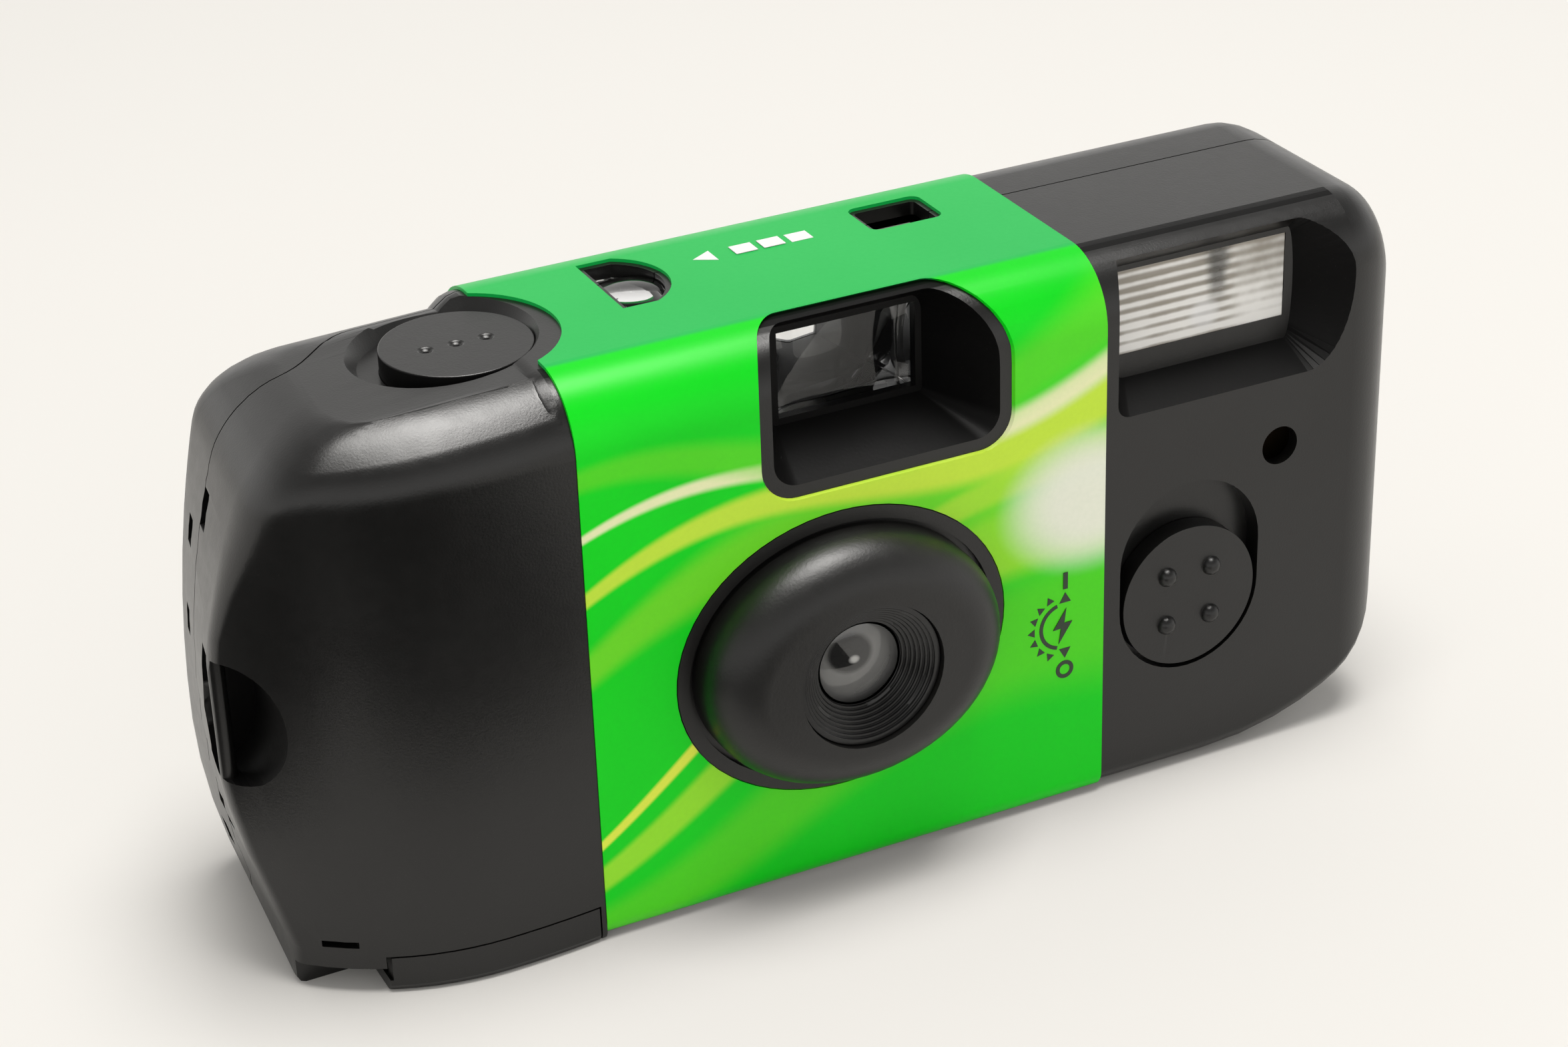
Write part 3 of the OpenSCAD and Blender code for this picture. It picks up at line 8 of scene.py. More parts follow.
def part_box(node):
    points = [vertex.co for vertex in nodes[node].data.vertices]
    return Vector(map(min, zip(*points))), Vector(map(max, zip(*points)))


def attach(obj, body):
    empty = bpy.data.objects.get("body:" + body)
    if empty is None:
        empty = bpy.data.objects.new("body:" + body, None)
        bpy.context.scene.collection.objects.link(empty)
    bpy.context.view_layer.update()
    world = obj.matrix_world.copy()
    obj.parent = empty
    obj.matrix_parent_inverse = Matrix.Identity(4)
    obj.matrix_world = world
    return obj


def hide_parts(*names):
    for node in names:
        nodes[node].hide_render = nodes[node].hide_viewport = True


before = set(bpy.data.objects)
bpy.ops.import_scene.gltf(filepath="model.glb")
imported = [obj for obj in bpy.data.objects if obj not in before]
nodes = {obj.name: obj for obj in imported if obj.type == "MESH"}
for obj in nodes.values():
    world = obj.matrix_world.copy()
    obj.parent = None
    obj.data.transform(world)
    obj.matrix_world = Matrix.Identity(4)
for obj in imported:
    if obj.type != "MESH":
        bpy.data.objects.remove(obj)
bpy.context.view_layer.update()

MM = 0.001

# Places in millimetres from the lens axis, the label's face and the base, as the solids have them
SHIFT = Vector((-2.5, -11.65, 0.0))
LENS_Z = 21.8
LABEL_LEFT = -22.8
FINDER_RECESS = (-7.0, 0.9, 36.0), (16.5, 8.0, 50.8)
FLASH_END = (42.0, 0.9, 32.0), (51.0, 6.0, 49.6)
FLASH_LEDGE = (26.0, 0.9, 33.0), (51.0, 4.1, 40.3)
POCKET_WALL = (-50.2, 6.2, 19.3), (-44.0, 14.6, 29.5)
POCKET_FLOOR = (-50.2, 5.0, 18.4), (-44.0, 14.6, 19.4)
POCKET_ROOF = (-50.2, 5.0, 29.4), (-44.0, 14.6, 30.4)
LENS_SURROUND = (-15.0, -12.0, 8.0), (15.0, 0.4, 36.0)
COUNTER_MARK_PLACE = (-2.6, 18.6, 51.0)
SWITCH_MARK_PLACE = (21.15, 0.0, 18.1)

# Ways that a face can look
ANY_WAY = Vector((0.0, 0.0, 0.0))
TO_GRIP = Vector((-1.0, 0.0, 0.0))
UPWARDS = Vector((0.0, 0.0, 1.0))
DOWNWARDS = Vector((0.0, 0.0, -1.0))

# Ribs on the inner face of the flash window, in millimetres
RIBS = 9
RIB_ROWS = 4
RIB_HEIGHT = 0.22
RIB_FOOT = 0.25

# Cleaning of a solid's copy: what counts as one point, in metres, and as one flat, in degrees
SAME_POINT = 0.000004
SAME_FLAT = 0.6


def at(x, y, z):
    """Point given from the lens axis and the label's face, in metres of the shared frame"""
    return (Vector((x, y, z)) + SHIFT) * MM


# Shader maths

class Value:
    """A socket that can be added, multiplied and compared like a number"""

    def __init__(self, finish, socket):
        self.finish, self.socket = finish, socket

    def _math(self, operation, a, b=0.0):
        return self.finish.make("ShaderNodeMath", {"operation": operation}, [a, b])

    def __add__(self, other):
        return self._math("ADD", self, other)

    __radd__ = __add__

    def __sub__(self, other):
        return self._math("SUBTRACT", self, other)

    def __rsub__(self, other):
        return self._math("SUBTRACT", other, self)

    def __mul__(self, other):
        return self._math("MULTIPLY", self, other)

    __rmul__ = __mul__

    def __truediv__(self, other):
        return self._math("DIVIDE", self, other)

    def __abs__(self):
        return self._math("ABSOLUTE", self)

    def sine(self):
        return self._math("SINE", self)

    def power(self, exponent):
        return self._math("POWER", self, exponent)

    def rise(self, start, end):
        """0 before start, 1 after end, smooth between"""
        return self.finish.make("ShaderNodeMapRange", {"interpolation_type": "SMOOTHSTEP"},
                                {"Value": self, "From Min": start, "From Max": end}, "Result")


class Finish:
    """One procedural material"""

    def __init__(self, name, **constants):
        self.material = bpy.data.materials.new(name)
        self.material.use_nodes = True
        self.tree = self.material.node_tree
        self.shader = self.tree.nodes["Principled BSDF"]
        for socket, value in constants.items():
            self.shader.inputs[socket.replace("_", " ")].default_value = value

    def make(self, kind, settings, sockets, output=0):
        """Adds one node: its settings first, then the values or links of its sockets"""
        node = self.tree.nodes.new(kind)
        for key, value in settings.items():
            setattr(node, key, value)
        pairs = sockets.items() if isinstance(sockets, dict) else enumerate(sockets)
        for key, value in pairs:
            self.link(node.inputs[key], value)
        return Value(self, node.outputs[output])

    def link(self, socket, value):
        if isinstance(value, Value):
            self.tree.links.new(value.socket, socket)
        elif isinstance(value, tuple) and len(value) == 3 and socket.type == "RGBA":
            socket.default_value = (*value, 1.0)
        else:
            socket.default_value = value

    def feed(self, **sockets):
        for key, value in sockets.items():
            self.link(self.shader.inputs[key.replace("_", " ")], value)

    def place(self):
        """Object coordinates"""
        return self.make("ShaderNodeTexCoord", {}, {}, "Object")

    def axes(self):
        """Object coordinates in millimetres from the lens axis, one value each"""
        point = self.make("ShaderNodeVectorMath", {"operation": "SCALE"},
                          {"Vector": self.place(), "Scale": 1000.0})
        split = self.make("ShaderNodeSeparateXYZ", {}, [point])
        x, y, z = (Value(self, split.socket.node.outputs[i]) for i in range(3))
        return x - SHIFT.x, y - SHIFT.y, z

    def noise(self, scale, detail=2.0):
        return self.make("ShaderNodeTexNoise", {}, {"Vector": self.place(), "Scale": scale, "Detail": detail})

    def mix(self, factor, a, b):
        return self.make("ShaderNodeMix", {"data_type": "RGBA"}, {0: factor, 6: a, 7: b}, 2)

    def bump(self, height, strength, distance):
        normal = self.make("ShaderNodeBump", {},
                           {"Height": height, "Strength": strength, "Distance": distance})
        self.feed(Normal=normal)


def moulded(name, colour, rough, grain=5200.0, depth=0.00003, haze=0.5, gloss=0.5):
    """Moulded plastic with a fine eroded grain, handling marks and a little dust"""
    f = Finish(name, IOR=1.5, Specular_IOR_Level=gloss)
    broad = f.noise(90.0, 4.0)
    marks = f.noise(900.0, 3.0)
    dust = f.noise(6000.0, 1.0).rise(0.72, 0.82)
    pale = tuple(min(1.0, c * 1.5 + 0.002) for c in colour)
    tone = f.mix(broad.rise(0.35, 0.75) * haze, colour, pale)
    f.feed(Base_Color=f.mix(dust * 0.04, tone, (0.30, 0.28, 0.26)))
    f.feed(Roughness=rough + (broad - 0.5) * 0.10 + (marks - 0.5) * 0.08)
    f.bump(f.noise(grain, 2.0), 0.3, depth)
    return f.material


def metal(name, colour, rough, brush=1500.0):
    """Metal with faint drawn lines"""
    f = Finish(name, Metallic=1.0)
    lines = f.noise(brush, 4.0)
    f.feed(Base_Color=f.mix(lines, tuple(c * 0.8 for c in colour), colour))
    f.feed(Roughness=rough + (lines - 0.5) * 0.2)
    return f.material


def clear(name, tint, see, rough=0.04):
    """Clear moulded plastic seen as a thin pane, with faint dust and smears"""
    f = Finish(name, IOR=1.49, Coat_Roughness=0.03)
    smear = f.noise(260.0, 4.0)
    f.feed(Base_Color=f.mix(smear, tint, tuple(c * 0.92 for c in tint)))
    f.feed(Roughness=rough + smear.rise(0.5, 0.8) * 0.08)
    f.feed(Alpha=see + smear.rise(0.55, 0.85) * 0.05)
    f.feed(Coat_Weight=0.6 + smear * 0.2)
    f.material.surface_render_method = "BLENDED"
    return f.material


def glass(name, tint):
    """Clear lens that bends light, with faint smears"""
    f = Finish(name, IOR=1.49, Transmission_Weight=1.0)
    smear = f.noise(320.0, 4.0)
    f.feed(Base_Color=f.mix(smear, tint, tuple(c * 0.97 for c in tint)))
    f.feed(Roughness=0.015 + smear.rise(0.55, 0.85) * 0.03)
    return f.material


def spot(across, half_width, up, half_height, start, end):
    """1 at the middle of an oval, falling to 0 between two shares of its size"""
    return 1.0 - ((across / half_width).power(2.0) + (up / half_height).power(2.0)).rise(start, end)


def label_print():
    """Green print with flowing ribbons on the front, paler ones on the back and a plain cooler top"""
    f = Finish("label_print", IOR=1.48, Specular_IOR_Level=0.22)
    x, y, z = f.axes()
    fibre = f.noise(2600.0, 3.0)
    tone = f.noise(45.0, 2.0)
    green = f.mix(z.rise(2.0, 46.0), (0.0005, 0.66, 0.008), (0.002, 0.74, 0.012))
    green = f.mix(tone.rise(0.42, 0.72) * 0.30, green, (0.0, 0.50, 0.006))

    def ribbon(height, lift, swing, wave, phase, half, soft):
        """Soft band that flows across the front, wider towards the flash"""
        middle = height + (x - LABEL_LEFT) * lift + (x * wave + phase).sine() * swing
        spread = half * (0.45 + (x - LABEL_LEFT) * 0.022)
        return 1.0 - (abs(z - middle) / spread).rise(1.0 - soft, 1.0 + soft)

    art = green
    for height, lift, swing, wave, phase, half, soft, strength, colour in (
            (4.0, 0.30, 3.0, 0.105, 0.4, 4.2, 0.5, 0.75, (0.10, 0.70, 0.012)),
            (9.5, 0.42, 3.4, 0.100, 0.9, 2.6, 0.35, 0.85, (0.36, 0.80, 0.03)),
            (12.5, 0.50, 3.6, 0.098, 1.2, 1.0, 0.45, 0.95, (0.80, 0.88, 0.08)),
            (24.0, 0.34, 4.2, 0.090, 2.6, 3.4, 0.55, 0.70, (0.22, 0.76, 0.02)),
            (29.0, 0.30, 4.6, 0.088, 2.9, 1.5, 0.45, 0.92, (0.62, 0.84, 0.06)),
            (33.5, 0.26, 4.8, 0.086, 3.2, 0.8, 0.6, 0.95, (0.90, 0.90, 0.55)),
            (40.0, 0.10, 3.2, 0.110, 4.0, 2.0, 0.6, 0.55, (0.16, 0.74, 0.02))):
        art = f.mix(ribbon(height, lift, swing, wave, phase, half, soft) * strength, art, colour)
    glow = spot(x - 24.0, 9.0, z - 30.0, 7.0, 0.1, 1.2)
    art = f.mix(glow * 0.92, art, (0.90, 0.88, 0.80))
    cool = f.mix(tone.rise(0.3, 0.8) * 0.5, (0.006, 0.51, 0.085), (0.002, 0.45, 0.070))
    upper = y.rise(5.0, 5.6) * z.rise(44.0, 46.0)
    print_colour = f.mix(upper, art, cool)
    back = y.rise(14.0, 14.2) * (1.0 - z.rise(44.0, 45.0))
    print_colour = f.mix(back * 0.6, print_colour, (0.012, 0.46, 0.05))
    f.feed(Base_Color=f.mix((fibre - 0.5) * 0.08 + 0.03, print_colour, (0.0, 0.20, 0.02)))
    f.feed(Roughness=0.36 + (tone - 0.5) * 0.12 + (fibre - 0.5) * 0.08)
    f.bump(fibre, 0.12, 0.00002)
    return f.material


def ribbed_pane():
    """Pane of the flash whose colour holds painted light: highlights in rows along the ribs, fading in the
    right part and lighter towards the bottom, a painted shade band right of the middle in its upper part, and
    a painted pool of light low in the middle
    """
    f = Finish("flash_pane", IOR=1.49, Coat_Weight=0.5, Coat_Roughness=0.03)
    x, _, z = f.axes()
    low, high = (Vector(c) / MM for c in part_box("flash_window"))
    smear = f.noise(260.0, 4.0)
    along = (x - low.x + SHIFT.x) / (high.x - low.x)
    row = ((z - low.z) * (2 * math.pi * RIBS / (high.z - low.z))).sine()
    row = row * (1.0 - along.rise(0.62, 0.74) * 0.7)
    up = (z - low.z) / (high.z - low.z)
    # Painted highlights: the rows of the ribs plus random smears, lighter towards the bottom, taking the pane
    # from a warm grey to white; they also make the pane less clear
    painted_rib_highlight = (row * 0.42 + smear * 0.9 + (0.5 - up) * 0.6).rise(0.0, 0.75)
    # Painted shade: a dark band right of the middle, strongest in the upper part
    painted_shade_band = 1.0 - (abs(along - 0.60 - (smear - 0.5) * 0.12) / 0.085).rise(0.2, 1.0)
    # Painted light: a white pool low in the middle of the pane
    painted_light_spot = spot(along - 0.53, 0.10, up - 0.30, 0.20, 0.1, 1.0)
    tone = f.mix(painted_rib_highlight, (0.44, 0.40, 0.34), (1.0, 0.99, 0.96))
    tone = f.mix(painted_shade_band * up.rise(0.25, 0.7) * 0.85, tone, (0.05, 0.05, 0.045))
    f.feed(Base_Color=f.mix(painted_light_spot * 0.8, tone, (1.0, 1.0, 1.0)))
    f.feed(Alpha=0.62 + painted_rib_highlight * 0.20)
    f.feed(Roughness=0.12 + smear * 0.1)
    f.material.surface_render_method = "BLENDED"
    return f.material


def lens_front():
    """Small moulded lens whose colour paints light on it: a mottled pale grey bowl as a painted reflection, a
    painted shade where the dark stop is seen, off centre, and a painted glint
    """
    f = Finish("lens_glass", IOR=1.49, Coat_Weight=0.7, Coat_Roughness=0.02)
    x, _, z = f.axes()
    smear = f.noise(320.0, 3.0)
    # Painted shade: dark where the stop behind the lens is seen, off centre; the lens is less clear there
    painted_stop_shade = spot(x + 0.65, 2.2, z - LENS_Z - 0.95, 1.9, 0.55, 1.15)
    # Painted highlight: a small pale glint above the middle
    painted_glint = spot(x + 0.35, 0.55, z - LENS_Z - 0.40, 0.42, 0.0, 1.2)
    # Painted reflection: the mottled pale grey of the bowl
    painted_bowl_reflection = f.mix(smear.rise(0.3, 0.8) * 0.4, (0.25, 0.25, 0.245), (0.18, 0.18, 0.175))
    painted_bowl_reflection = f.mix(painted_stop_shade, painted_bowl_reflection, (0.012, 0.012, 0.012))
    f.feed(Base_Color=f.mix(painted_glint * 0.6, painted_bowl_reflection, (0.70, 0.70, 0.68)))
    f.feed(Alpha=0.66 + painted_stop_shade * 0.3)
    f.feed(Roughness=0.05 + smear.rise(0.5, 0.8) * 0.05)
    f.material.surface_render_method = "BLENDED"
    return f.material


def printed(name, colour):
    """Printing ink on the label"""
    f = Finish(name, IOR=1.48)
    fleck = f.noise(3800.0, 2.0)
    f.feed(Base_Color=f.mix(fleck.rise(0.4, 0.8) * 0.25, colour, tuple(c * 0.75 + 0.02 for c in colour)))
    f.feed(Roughness=0.4 + (fleck - 0.5) * 0.1)
    return f.material


case_black = moulded("case_black", (0.0040, 0.0038, 0.0036), 0.31)
# Painted shade: a darker, less glossy copy of the case plastic, for recesses and the button's sides
painted_recess_shade = moulded("painted_recess_shade", (0.0035, 0.0034, 0.0034), 0.42, 3000.0, gloss=0.10)
surround_black = moulded("surround_black", (0.0045, 0.0042, 0.0038), 0.40, 3600.0, 0.00004)
control_black = moulded("control_black", (0.0042, 0.0040, 0.0038), 0.33, 4200.0)
ring_black = moulded("ring_black", (0.005, 0.005, 0.005), 0.30, 3000.0, 0.00001)
inner_black = moulded("inner_black", (0.006, 0.006, 0.0063), 0.5, 3200.0)
dial_white = moulded("dial_white", (0.80, 0.80, 0.77), 0.45, 2500.0, 0.00002, 0.2)
film_brown = moulded("film_brown", (0.075, 0.035, 0.024), 0.22, 900.0, 0.000004)
board_tan = moulded("board_tan", (0.040, 0.026, 0.014), 0.4, 1200.0)
sleeve_blue = moulded("capacitor_sleeve", (0.02, 0.025, 0.075), 0.32, 1500.0, 0.00001)
tape_yellow = moulded("transformer_tape", (0.55, 0.36, 0.05), 0.35, 1800.0, 0.00002)
battery_print = moulded("battery_sleeve", (0.06, 0.09, 0.24), 0.3, 1200.0, 0.00001)
can_paint = moulded("can_paint", (0.035, 0.11, 0.07), 0.3, 1600.0, 0.00001)
spring_steel = metal("spring_steel", (0.62, 0.62, 0.63), 0.28)
blade_dark = metal("blade_dark", (0.10, 0.10, 0.097), 0.42, 120.0)
copper = metal("coil_copper", (0.62, 0.30, 0.14), 0.35)
silver = metal("reflector_silver", (0.90, 0.90, 0.88), 0.14, 700.0)
pipe_grey = clear("ready_pipe", (0.34, 0.33, 0.31), 0.80, 0.15)
pane = clear("finder_pane", (0.93, 0.95, 0.96), 0.06)
finder_glass = glass("finder_glass", (0.98, 0.99, 0.99))
window_clear = ribbed_pane()
lens_glass = lens_front()
magnifier = glass("counter_glass", (0.98, 0.98, 0.98))
tube_white = clear("tube_glass", (0.96, 0.96, 0.94), 0.80, 0.08)
green_print = label_print()
white_ink = printed("white_ink", (0.88, 0.88, 0.85))
dark_ink = printed("dark_ink", (0.012, 0.03, 0.012))

LOOK = {
    "front_cover": case_black, "rear_cover": case_black, "cartridge_door": case_black,
    "label_band": green_print, "shutter_button": control_black, "flash_switch": control_black,
    "wind_wheel": control_black, "ready_light_pipe": pipe_grey, "lens_ring": ring_black,
    "taking_lens": lens_glass, "finder_front_lens": finder_glass, "finder_eye_lens": pane,
    "counter_magnifier": magnifier, "flash_window": window_clear, "shutter_base": inner_black,
    "film_frame": inner_black, "drive_lever": inner_black, "cartridge_spool": inner_black,
    "supply_spool": inner_black, "sprocket": inner_black, "shutter_blade": blade_dark,
    "shutter_spring": spring_steel, "drive_spring": spring_steel, "release_lever": spring_steel,
    "battery_contact_plus": spring_steel, "battery_contact_minus": spring_steel,
    "switch_contact": copper, "sync_contact": copper, "counter_dial": dial_white,
    "film_cartridge": can_paint, "film_strip": film_brown, "film_roll": film_brown,
    "flash_reflector": silver, "flash_tube": tube_white, "circuit_board": board_tan,
    "flash_capacitor": sleeve_blue, "flash_transformer": tape_yellow, "trigger_coil": copper,
    "battery": battery_print,
}

for name, node in nodes.items():
    node.data.materials.clear()
    node.data.materials.append(LOOK[name])


def finished(piece, material, body, node=None):
    """Gives a piece its material and the body it rides on, and hides the solid it stands for"""
    piece.data.materials.clear()
    piece.data.materials.append(material)
    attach(piece, body)
    if node:
        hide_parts(node)
    return piece


def mesh_piece(name, shape):
    """Makes an object of a drawn shape"""
    data = bpy.data.meshes.new(name)
    shape.to_mesh(data)
    shape.free()
    piece = bpy.data.objects.new(name, data)
    bpy.context.scene.collection.objects.link(piece)
    return piece


def dressed(node, body, edge, crease=28.0, segments=2):
    """Copy of a solid with joined faces, softened edges and smooth shading"""
    shape = bmesh.new()
    shape.from_mesh(nodes[node].data)
    bmesh.ops.remove_doubles(shape, verts=shape.verts, dist=SAME_POINT)
    bmesh.ops.dissolve_limit(shape, angle_limit=math.radians(SAME_FLAT), verts=shape.verts, edges=shape.edges)
    for face in shape.faces:
        face.smooth = True
    piece = mesh_piece(node + "_dressed", shape)
    soft = piece.modifiers.new("soft_edges", "BEVEL")
    soft.width = edge * MM
    soft.segments = segments
    soft.limit_method = "ANGLE"
    soft.angle_limit = math.radians(crease)
    even = piece.modifiers.new("even_shading", "WEIGHTED_NORMAL")
    even.keep_sharp = True
    piece.data.set_sharp_from_angle(angle=math.radians(crease))
    return finished(piece, LOOK[node], body, node)


def other_plastic_and_painted_shade(piece, material, box, way=ANY_WAY):
    """Gives another material to the faces inside a box, or only to those of them that look one way: a rougher
    plastic, or a darker, less glossy copy of the case plastic that paints shade
    """
    slots = piece.data.materials
    if slots.find(material.name) < 0:
        slots.append(material)
    for face in piece.data.polygons:
        middle = face.center / MM - SHIFT
        inside = all(low <= c <= high for low, c, high in zip(box[0], middle, box[1]))
        if inside and face.normal.dot(way) >= 0.1 * way.length:
            face.material_index = slots.find(material.name)


front = dressed("front_cover", "camera", 0.16)
# Recesses of the finder, the flash end and ledge and the strap pocket get painted shade from the darker, less
# glossy copy of the case plastic
other_plastic_and_painted_shade(front, painted_recess_shade, FINDER_RECESS)
other_plastic_and_painted_shade(front, painted_recess_shade, FLASH_END, TO_GRIP)
other_plastic_and_painted_shade(front, painted_recess_shade, FLASH_LEDGE, UPWARDS)
other_plastic_and_painted_shade(front, painted_recess_shade, POCKET_WALL)
other_plastic_and_painted_shade(front, painted_recess_shade, POCKET_FLOOR, UPWARDS)
other_plastic_and_painted_shade(front, painted_recess_shade, POCKET_ROOF, DOWNWARDS)
other_plastic_and_painted_shade(front, surround_black, LENS_SURROUND)
dressed("rear_cover", "camera", 0.16)
dressed("cartridge_door", "cartridge_door", 0.10)
dressed("label_band", "camera", 0.06, 40.0).visible_diffuse = False
button = dressed("shutter_button", "shutter_button", 0.28)
button_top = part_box("shutter_button")[1][2] / MM
button_side = (-60.0, -10.0, 30.0), (-15.0, 30.0, button_top - 0.25)
# Painted shade on the button's sides, from the darker, less glossy copy of the case plastic
other_plastic_and_painted_shade(button, painted_recess_shade, button_side)
dressed("flash_switch", "flash_switch", 0.16)
dressed("wind_wheel", "winder", 0.08)
for small, carrier, edge, segments in (
        ("lens_ring", "camera", 0.04, 1), ("taking_lens", "camera", 0.05, 2),
        ("finder_front_lens", "camera", 0.12, 2), ("counter_magnifier", "camera", 0.06, 2),
        ("counter_dial", "counter_dial", 0.04, 1), ("flash_reflector", "camera", 0.03, 1),
        ("flash_tube", "camera", 0.03, 1), ("film_cartridge", "camera", 0.05, 1),
        ("cartridge_spool", "winder", 0.05, 1)):
    dressed(small, carrier, edge, 30.0, segments)


# Ribbed flash window

def ribbed_window():
    """Clear window whose inner face carries rounded ribs along its length"""
    low, high = (Vector(c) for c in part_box("flash_window"))
    shape = bmesh.new()
    bmesh.ops.create_grid(shape, x_segments=1, y_segments=RIBS * RIB_ROWS, size=0.5)
    for vert in shape.verts:
        row = round((vert.co.y + 0.5) * RIBS * RIB_ROWS)
        rib = math.sin(math.pi * (row % RIB_ROWS) / RIB_ROWS) * RIB_HEIGHT * MM
        vert.co = Vector((low.x + (vert.co.x + 0.5) * (high.x - low.x), high.y - RIB_FOOT * MM + rib,
                          low.z + (vert.co.y + 0.5) * (high.z - low.z)))
    outer = bmesh.ops.extrude_face_region(shape, geom=shape.faces[:])
    for item in outer["geom"]:
        if isinstance(item, bmesh.types.BMVert):
            item.co.y = low.y
    bmesh.ops.recalc_face_normals(shape, faces=shape.faces)
    for face in shape.faces:
        face.smooth = True
    window = mesh_piece("flash_window_ribbed", shape)
    window.data.set_sharp_from_angle(angle=math.radians(50.0))
    finished(window, window_clear, "camera", "flash_window")


ribbed_window()


# Printed marks on the label, in millimetres

INK_THICKNESS = 0.05
INK_LIFT = 0.03


def flat_mark(name, shape, place, ink, lying=False):
    """Sets a flat mark, drawn in millimetres, on the label's front or top"""
    bmesh.ops.solidify(shape, geom=shape.faces[:], thickness=INK_THICKNESS)
    bmesh.ops.translate(shape, verts=shape.verts, vec=(0, 0, INK_LIFT))
    if not lying:
        upright = Matrix.Rotation(math.pi / 2, 3, "X")
        bmesh.ops.rotate(shape, verts=shape.verts, cent=(0, 0, 0), matrix=upright)
    bmesh.ops.recalc_face_normals(shape, faces=shape.faces)
    bmesh.ops.scale(shape, verts=shape.verts, vec=(MM, MM, MM))
    bmesh.ops.translate(shape, verts=shape.verts, vec=at(*place))
    finished(mesh_piece(name, shape), ink, "camera")


def arrow_mark(shape, centre, radius, turn):
    """Three-sided point"""
    new = bmesh.ops.create_circle(shape, cap_ends=True, segments=3, radius=radius)["verts"]
    bmesh.ops.rotate(shape, verts=new, cent=(0, 0, 0), matrix=Matrix.Rotation(turn, 3, "Z"))
    bmesh.ops.translate(shape, verts=new, vec=(*centre, 0))


def outline_mark(shape, points):
    """Flat face with the given corners"""
    bmesh.ops.contextual_create(shape, geom=[shape.verts.new((x, y, 0)) for x, y in points])


def ring_mark(shape, centre, inner, outer, start=0.0, sweep=2 * math.pi, steps=40):
    """Ring, or a part of one"""
    arm = [shape.verts.new((centre[0] + r * math.cos(start), centre[1] + r * math.sin(start), 0))
           for r in (inner, outer)]
    edge = shape.edges.new(arm)
    bmesh.ops.spin(shape, geom=[*arm, edge], cent=(*centre, 0), axis=(0, 0, 1), angle=sweep, steps=steps,
                   use_merge=sweep > 6.28)


counter_mark = bmesh.new()
arrow_mark(counter_mark, (0, 0), 1.25, math.pi / 2)
for i in range(3):
    left, right = 2.4 + 2.6 * i, 4.4 + 2.6 * i
    outline_mark(counter_mark, [(left, -0.85), (right, -0.85), (right, 0.85), (left, 0.85)])
flat_mark("counter_mark", counter_mark, COUNTER_MARK_PLACE, white_ink, True)

switch_mark = bmesh.new()
outline_mark(switch_mark, [(0.35, 1.7), (-0.95, -0.25), (-0.15, -0.2),
                           (-0.4, -1.7), (0.95, 0.3), (0.15, 0.25)])
ring_mark(switch_mark, (0, 0), 1.95, 2.3, math.pi * 0.58, math.pi * 0.84, 24)
for i in range(7):
    turn = math.pi * (0.64 + 0.12 * i)
    arrow_mark(switch_mark, (3.0 * math.cos(turn), 3.0 * math.sin(turn)), 0.46, turn - math.pi / 2)
arrow_mark(switch_mark, (0.25, 2.6), 0.66, 0.0)
arrow_mark(switch_mark, (0.25, -2.6), 0.66, math.pi)
outline_mark(switch_mark, [(0.03, 3.6), (0.47, 3.6), (0.47, 5.2), (0.03, 5.2)])
ring_mark(switch_mark, (0.25, -4.4), 0.5, 0.88)
flat_mark("switch_mark", switch_mark, SWITCH_MARK_PLACE, dark_ink)

# Floor, with lengths in metres: further out it glows where it is looked at, so that it stays pale

FLOOR_REACH = 4.0
FAR_START, FAR_FULL = 0.28, 1.1

floor_shape = bmesh.new()
bmesh.ops.create_grid(floor_shape, x_segments=1, y_segments=1, size=FLOOR_REACH)
floor = mesh_piece("floor", floor_shape)
floor_look = Finish("floor", Roughness=0.7, Specular_IOR_Level=0.0, Emission_Strength=1.0)
cloud = floor_look.noise(3.0, 3.0)
away = floor_look.make("ShaderNodeVectorMath", {"operation": "LENGTH"}, [floor_look.place()], "Value")
seen = sum(floor_look.make("ShaderNodeLightPath", {}, {}, "Is %s Ray" % ray)
           for ray in ("Camera", "Glossy", "Transmission"))
far = away.rise(FAR_START, FAR_FULL) * seen
floor_look.feed(Emission_Color=floor_look.mix(far, (0.0, 0.0, 0.0), (0.46, 0.45, 0.435)))
floor_look.feed(Base_Color=floor_look.mix(cloud, (0.86, 0.845, 0.815), (0.90, 0.885, 0.855)))
floor.data.materials.append(floor_look.material)

# Sky, brightest at the horizon

HORIZON_LIGHT, ZENITH_LIGHT = 1.18, 0.15

world = bpy.data.worlds.new("studio")
bpy.context.scene.world = world
world.use_nodes = True
sky = world.node_tree
sky_place = sky.nodes.new("ShaderNodeTexCoord")
sky_side = sky.nodes.new("ShaderNodeVectorMath")
sky_side.operation = "DOT_PRODUCT"
sky_side.inputs[1].default_value = (0.0, 0.0, 1.0)
sky_map = sky.nodes.new("ShaderNodeMapRange")
sky_map.interpolation_type = "SMOOTHSTEP"
sky.links.new(sky_place.outputs["Generated"], sky_side.inputs[0])
sky.links.new(sky_side.outputs["Value"], sky_map.inputs["Value"])
for socket, value in (("From Min", 0.1), ("From Max", 0.95),
                      ("To Min", HORIZON_LIGHT), ("To Max", ZENITH_LIGHT)):
    sky_map.inputs[socket].default_value = value
sky.nodes["Background"].inputs["Color"].default_value = (1.0, 0.985, 0.96, 1.0)
sky.links.new(sky_map.outputs["Result"], sky.nodes["Background"].inputs["Strength"])

# Lamps

LAMP_COLOUR = (1.0, 0.98, 0.95)


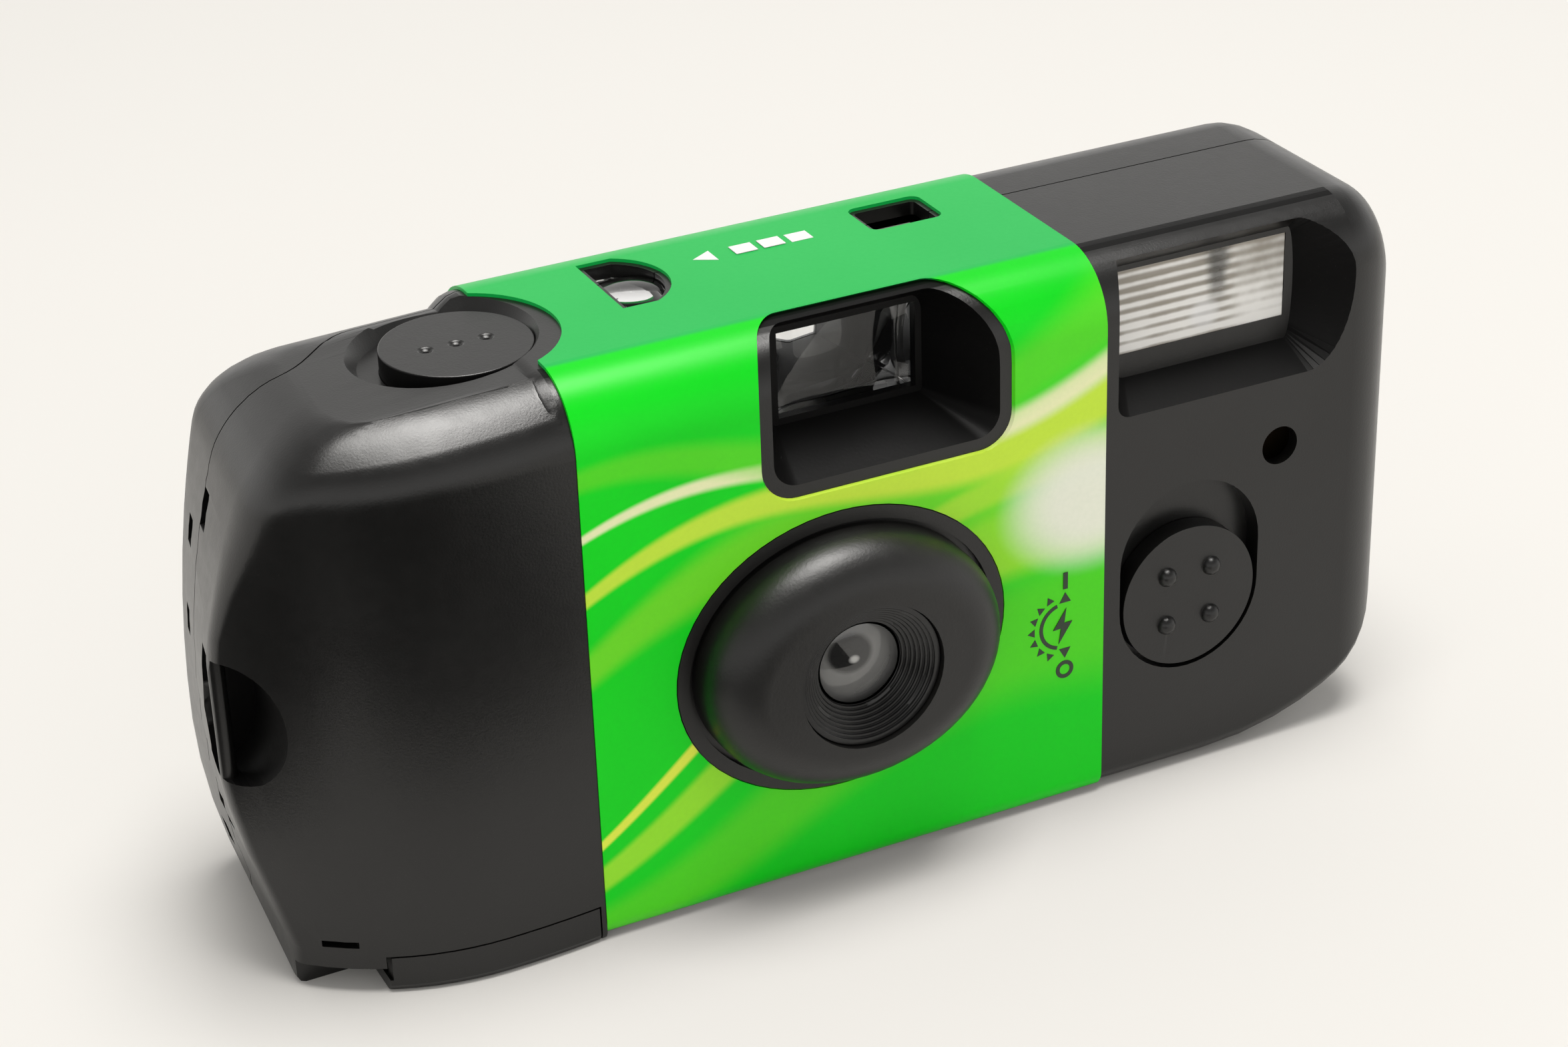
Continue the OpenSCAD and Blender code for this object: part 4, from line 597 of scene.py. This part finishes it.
def softbox(name, place, aim, size, power):
    """Soft rectangular lamp"""
    lamp = bpy.data.lights.new(name, "AREA")
    lamp.shape = "RECTANGLE"
    lamp.size, lamp.size_y = size
    lamp.energy = power
    lamp.color = LAMP_COLOUR
    holder = bpy.data.objects.new(name, lamp)
    bpy.context.scene.collection.objects.link(holder)
    holder.location = place
    holder.rotation_euler = (Vector(aim) - Vector(place)).to_track_quat("-Z", "Y").to_euler()
    return holder


softbox("key", (0.05, -0.05, 0.80), (0, 0, 0.02), (0.42, 0.34), 4.6)
gloss = softbox("gloss", (0.03, 0.10, 0.80), (0, 0, 0.02), (0.58, 0.30), 6.0)
gloss.visible_diffuse = False

# Dark card on the floor in front of the camera and beside its grip, seen only in reflections

CARD_LEAVES = (((0.90, 0.46, 1.0), (-0.44, -0.275, 0.002)), ((0.30, 0.06, 1.0), (-0.225, -0.02, 0.002)))

card_shape = bmesh.new()
for size, middle in CARD_LEAVES:
    leaf = bmesh.ops.create_grid(card_shape, x_segments=1, y_segments=1, size=0.5)["verts"]
    bmesh.ops.scale(card_shape, verts=leaf, vec=size)
    bmesh.ops.translate(card_shape, verts=leaf, vec=middle)
card = mesh_piece("dark_card", card_shape)
card_look = Finish("dark_card", Roughness=0.9)
card_tone = card_look.mix(card_look.noise(40.0), (0.010, 0.010, 0.010), (0.016, 0.016, 0.016))
card_look.feed(Base_Color=card_tone)
card.data.materials.append(card_look.material)
card.visible_camera = card.visible_diffuse = card.visible_shadow = card.visible_transmission = False

# Viewing camera, placed in metres as for the photograph

FOCAL_LENGTH, SENSOR_WIDTH = 77.42, 36.0
VIEWPOINT = Vector((-0.11148, -0.23032, 0.16274))
RIGHT = Vector((0.89567625, -0.44360761, -0.03124652))
DOWN = Vector((-0.23199786, -0.40616398, -0.88385961))
AHEAD = Vector((0.37939564, 0.79890119, -0.46670744))
lens = bpy.data.cameras.new("camera")
lens.sensor_fit = "HORIZONTAL"
lens.sensor_width = SENSOR_WIDTH
lens.lens = FOCAL_LENGTH
lens.clip_start = 0.01
lens.clip_end = 20.0
viewer = bpy.data.objects.new("camera", lens)
bpy.context.scene.collection.objects.link(viewer)
aim = Matrix((RIGHT, -DOWN, -AHEAD)).transposed().to_4x4()
viewer.matrix_world = Matrix.Translation(VIEWPOINT) @ aim
bpy.context.scene.camera = viewer

bpy.context.scene.view_settings.view_transform = "Standard"
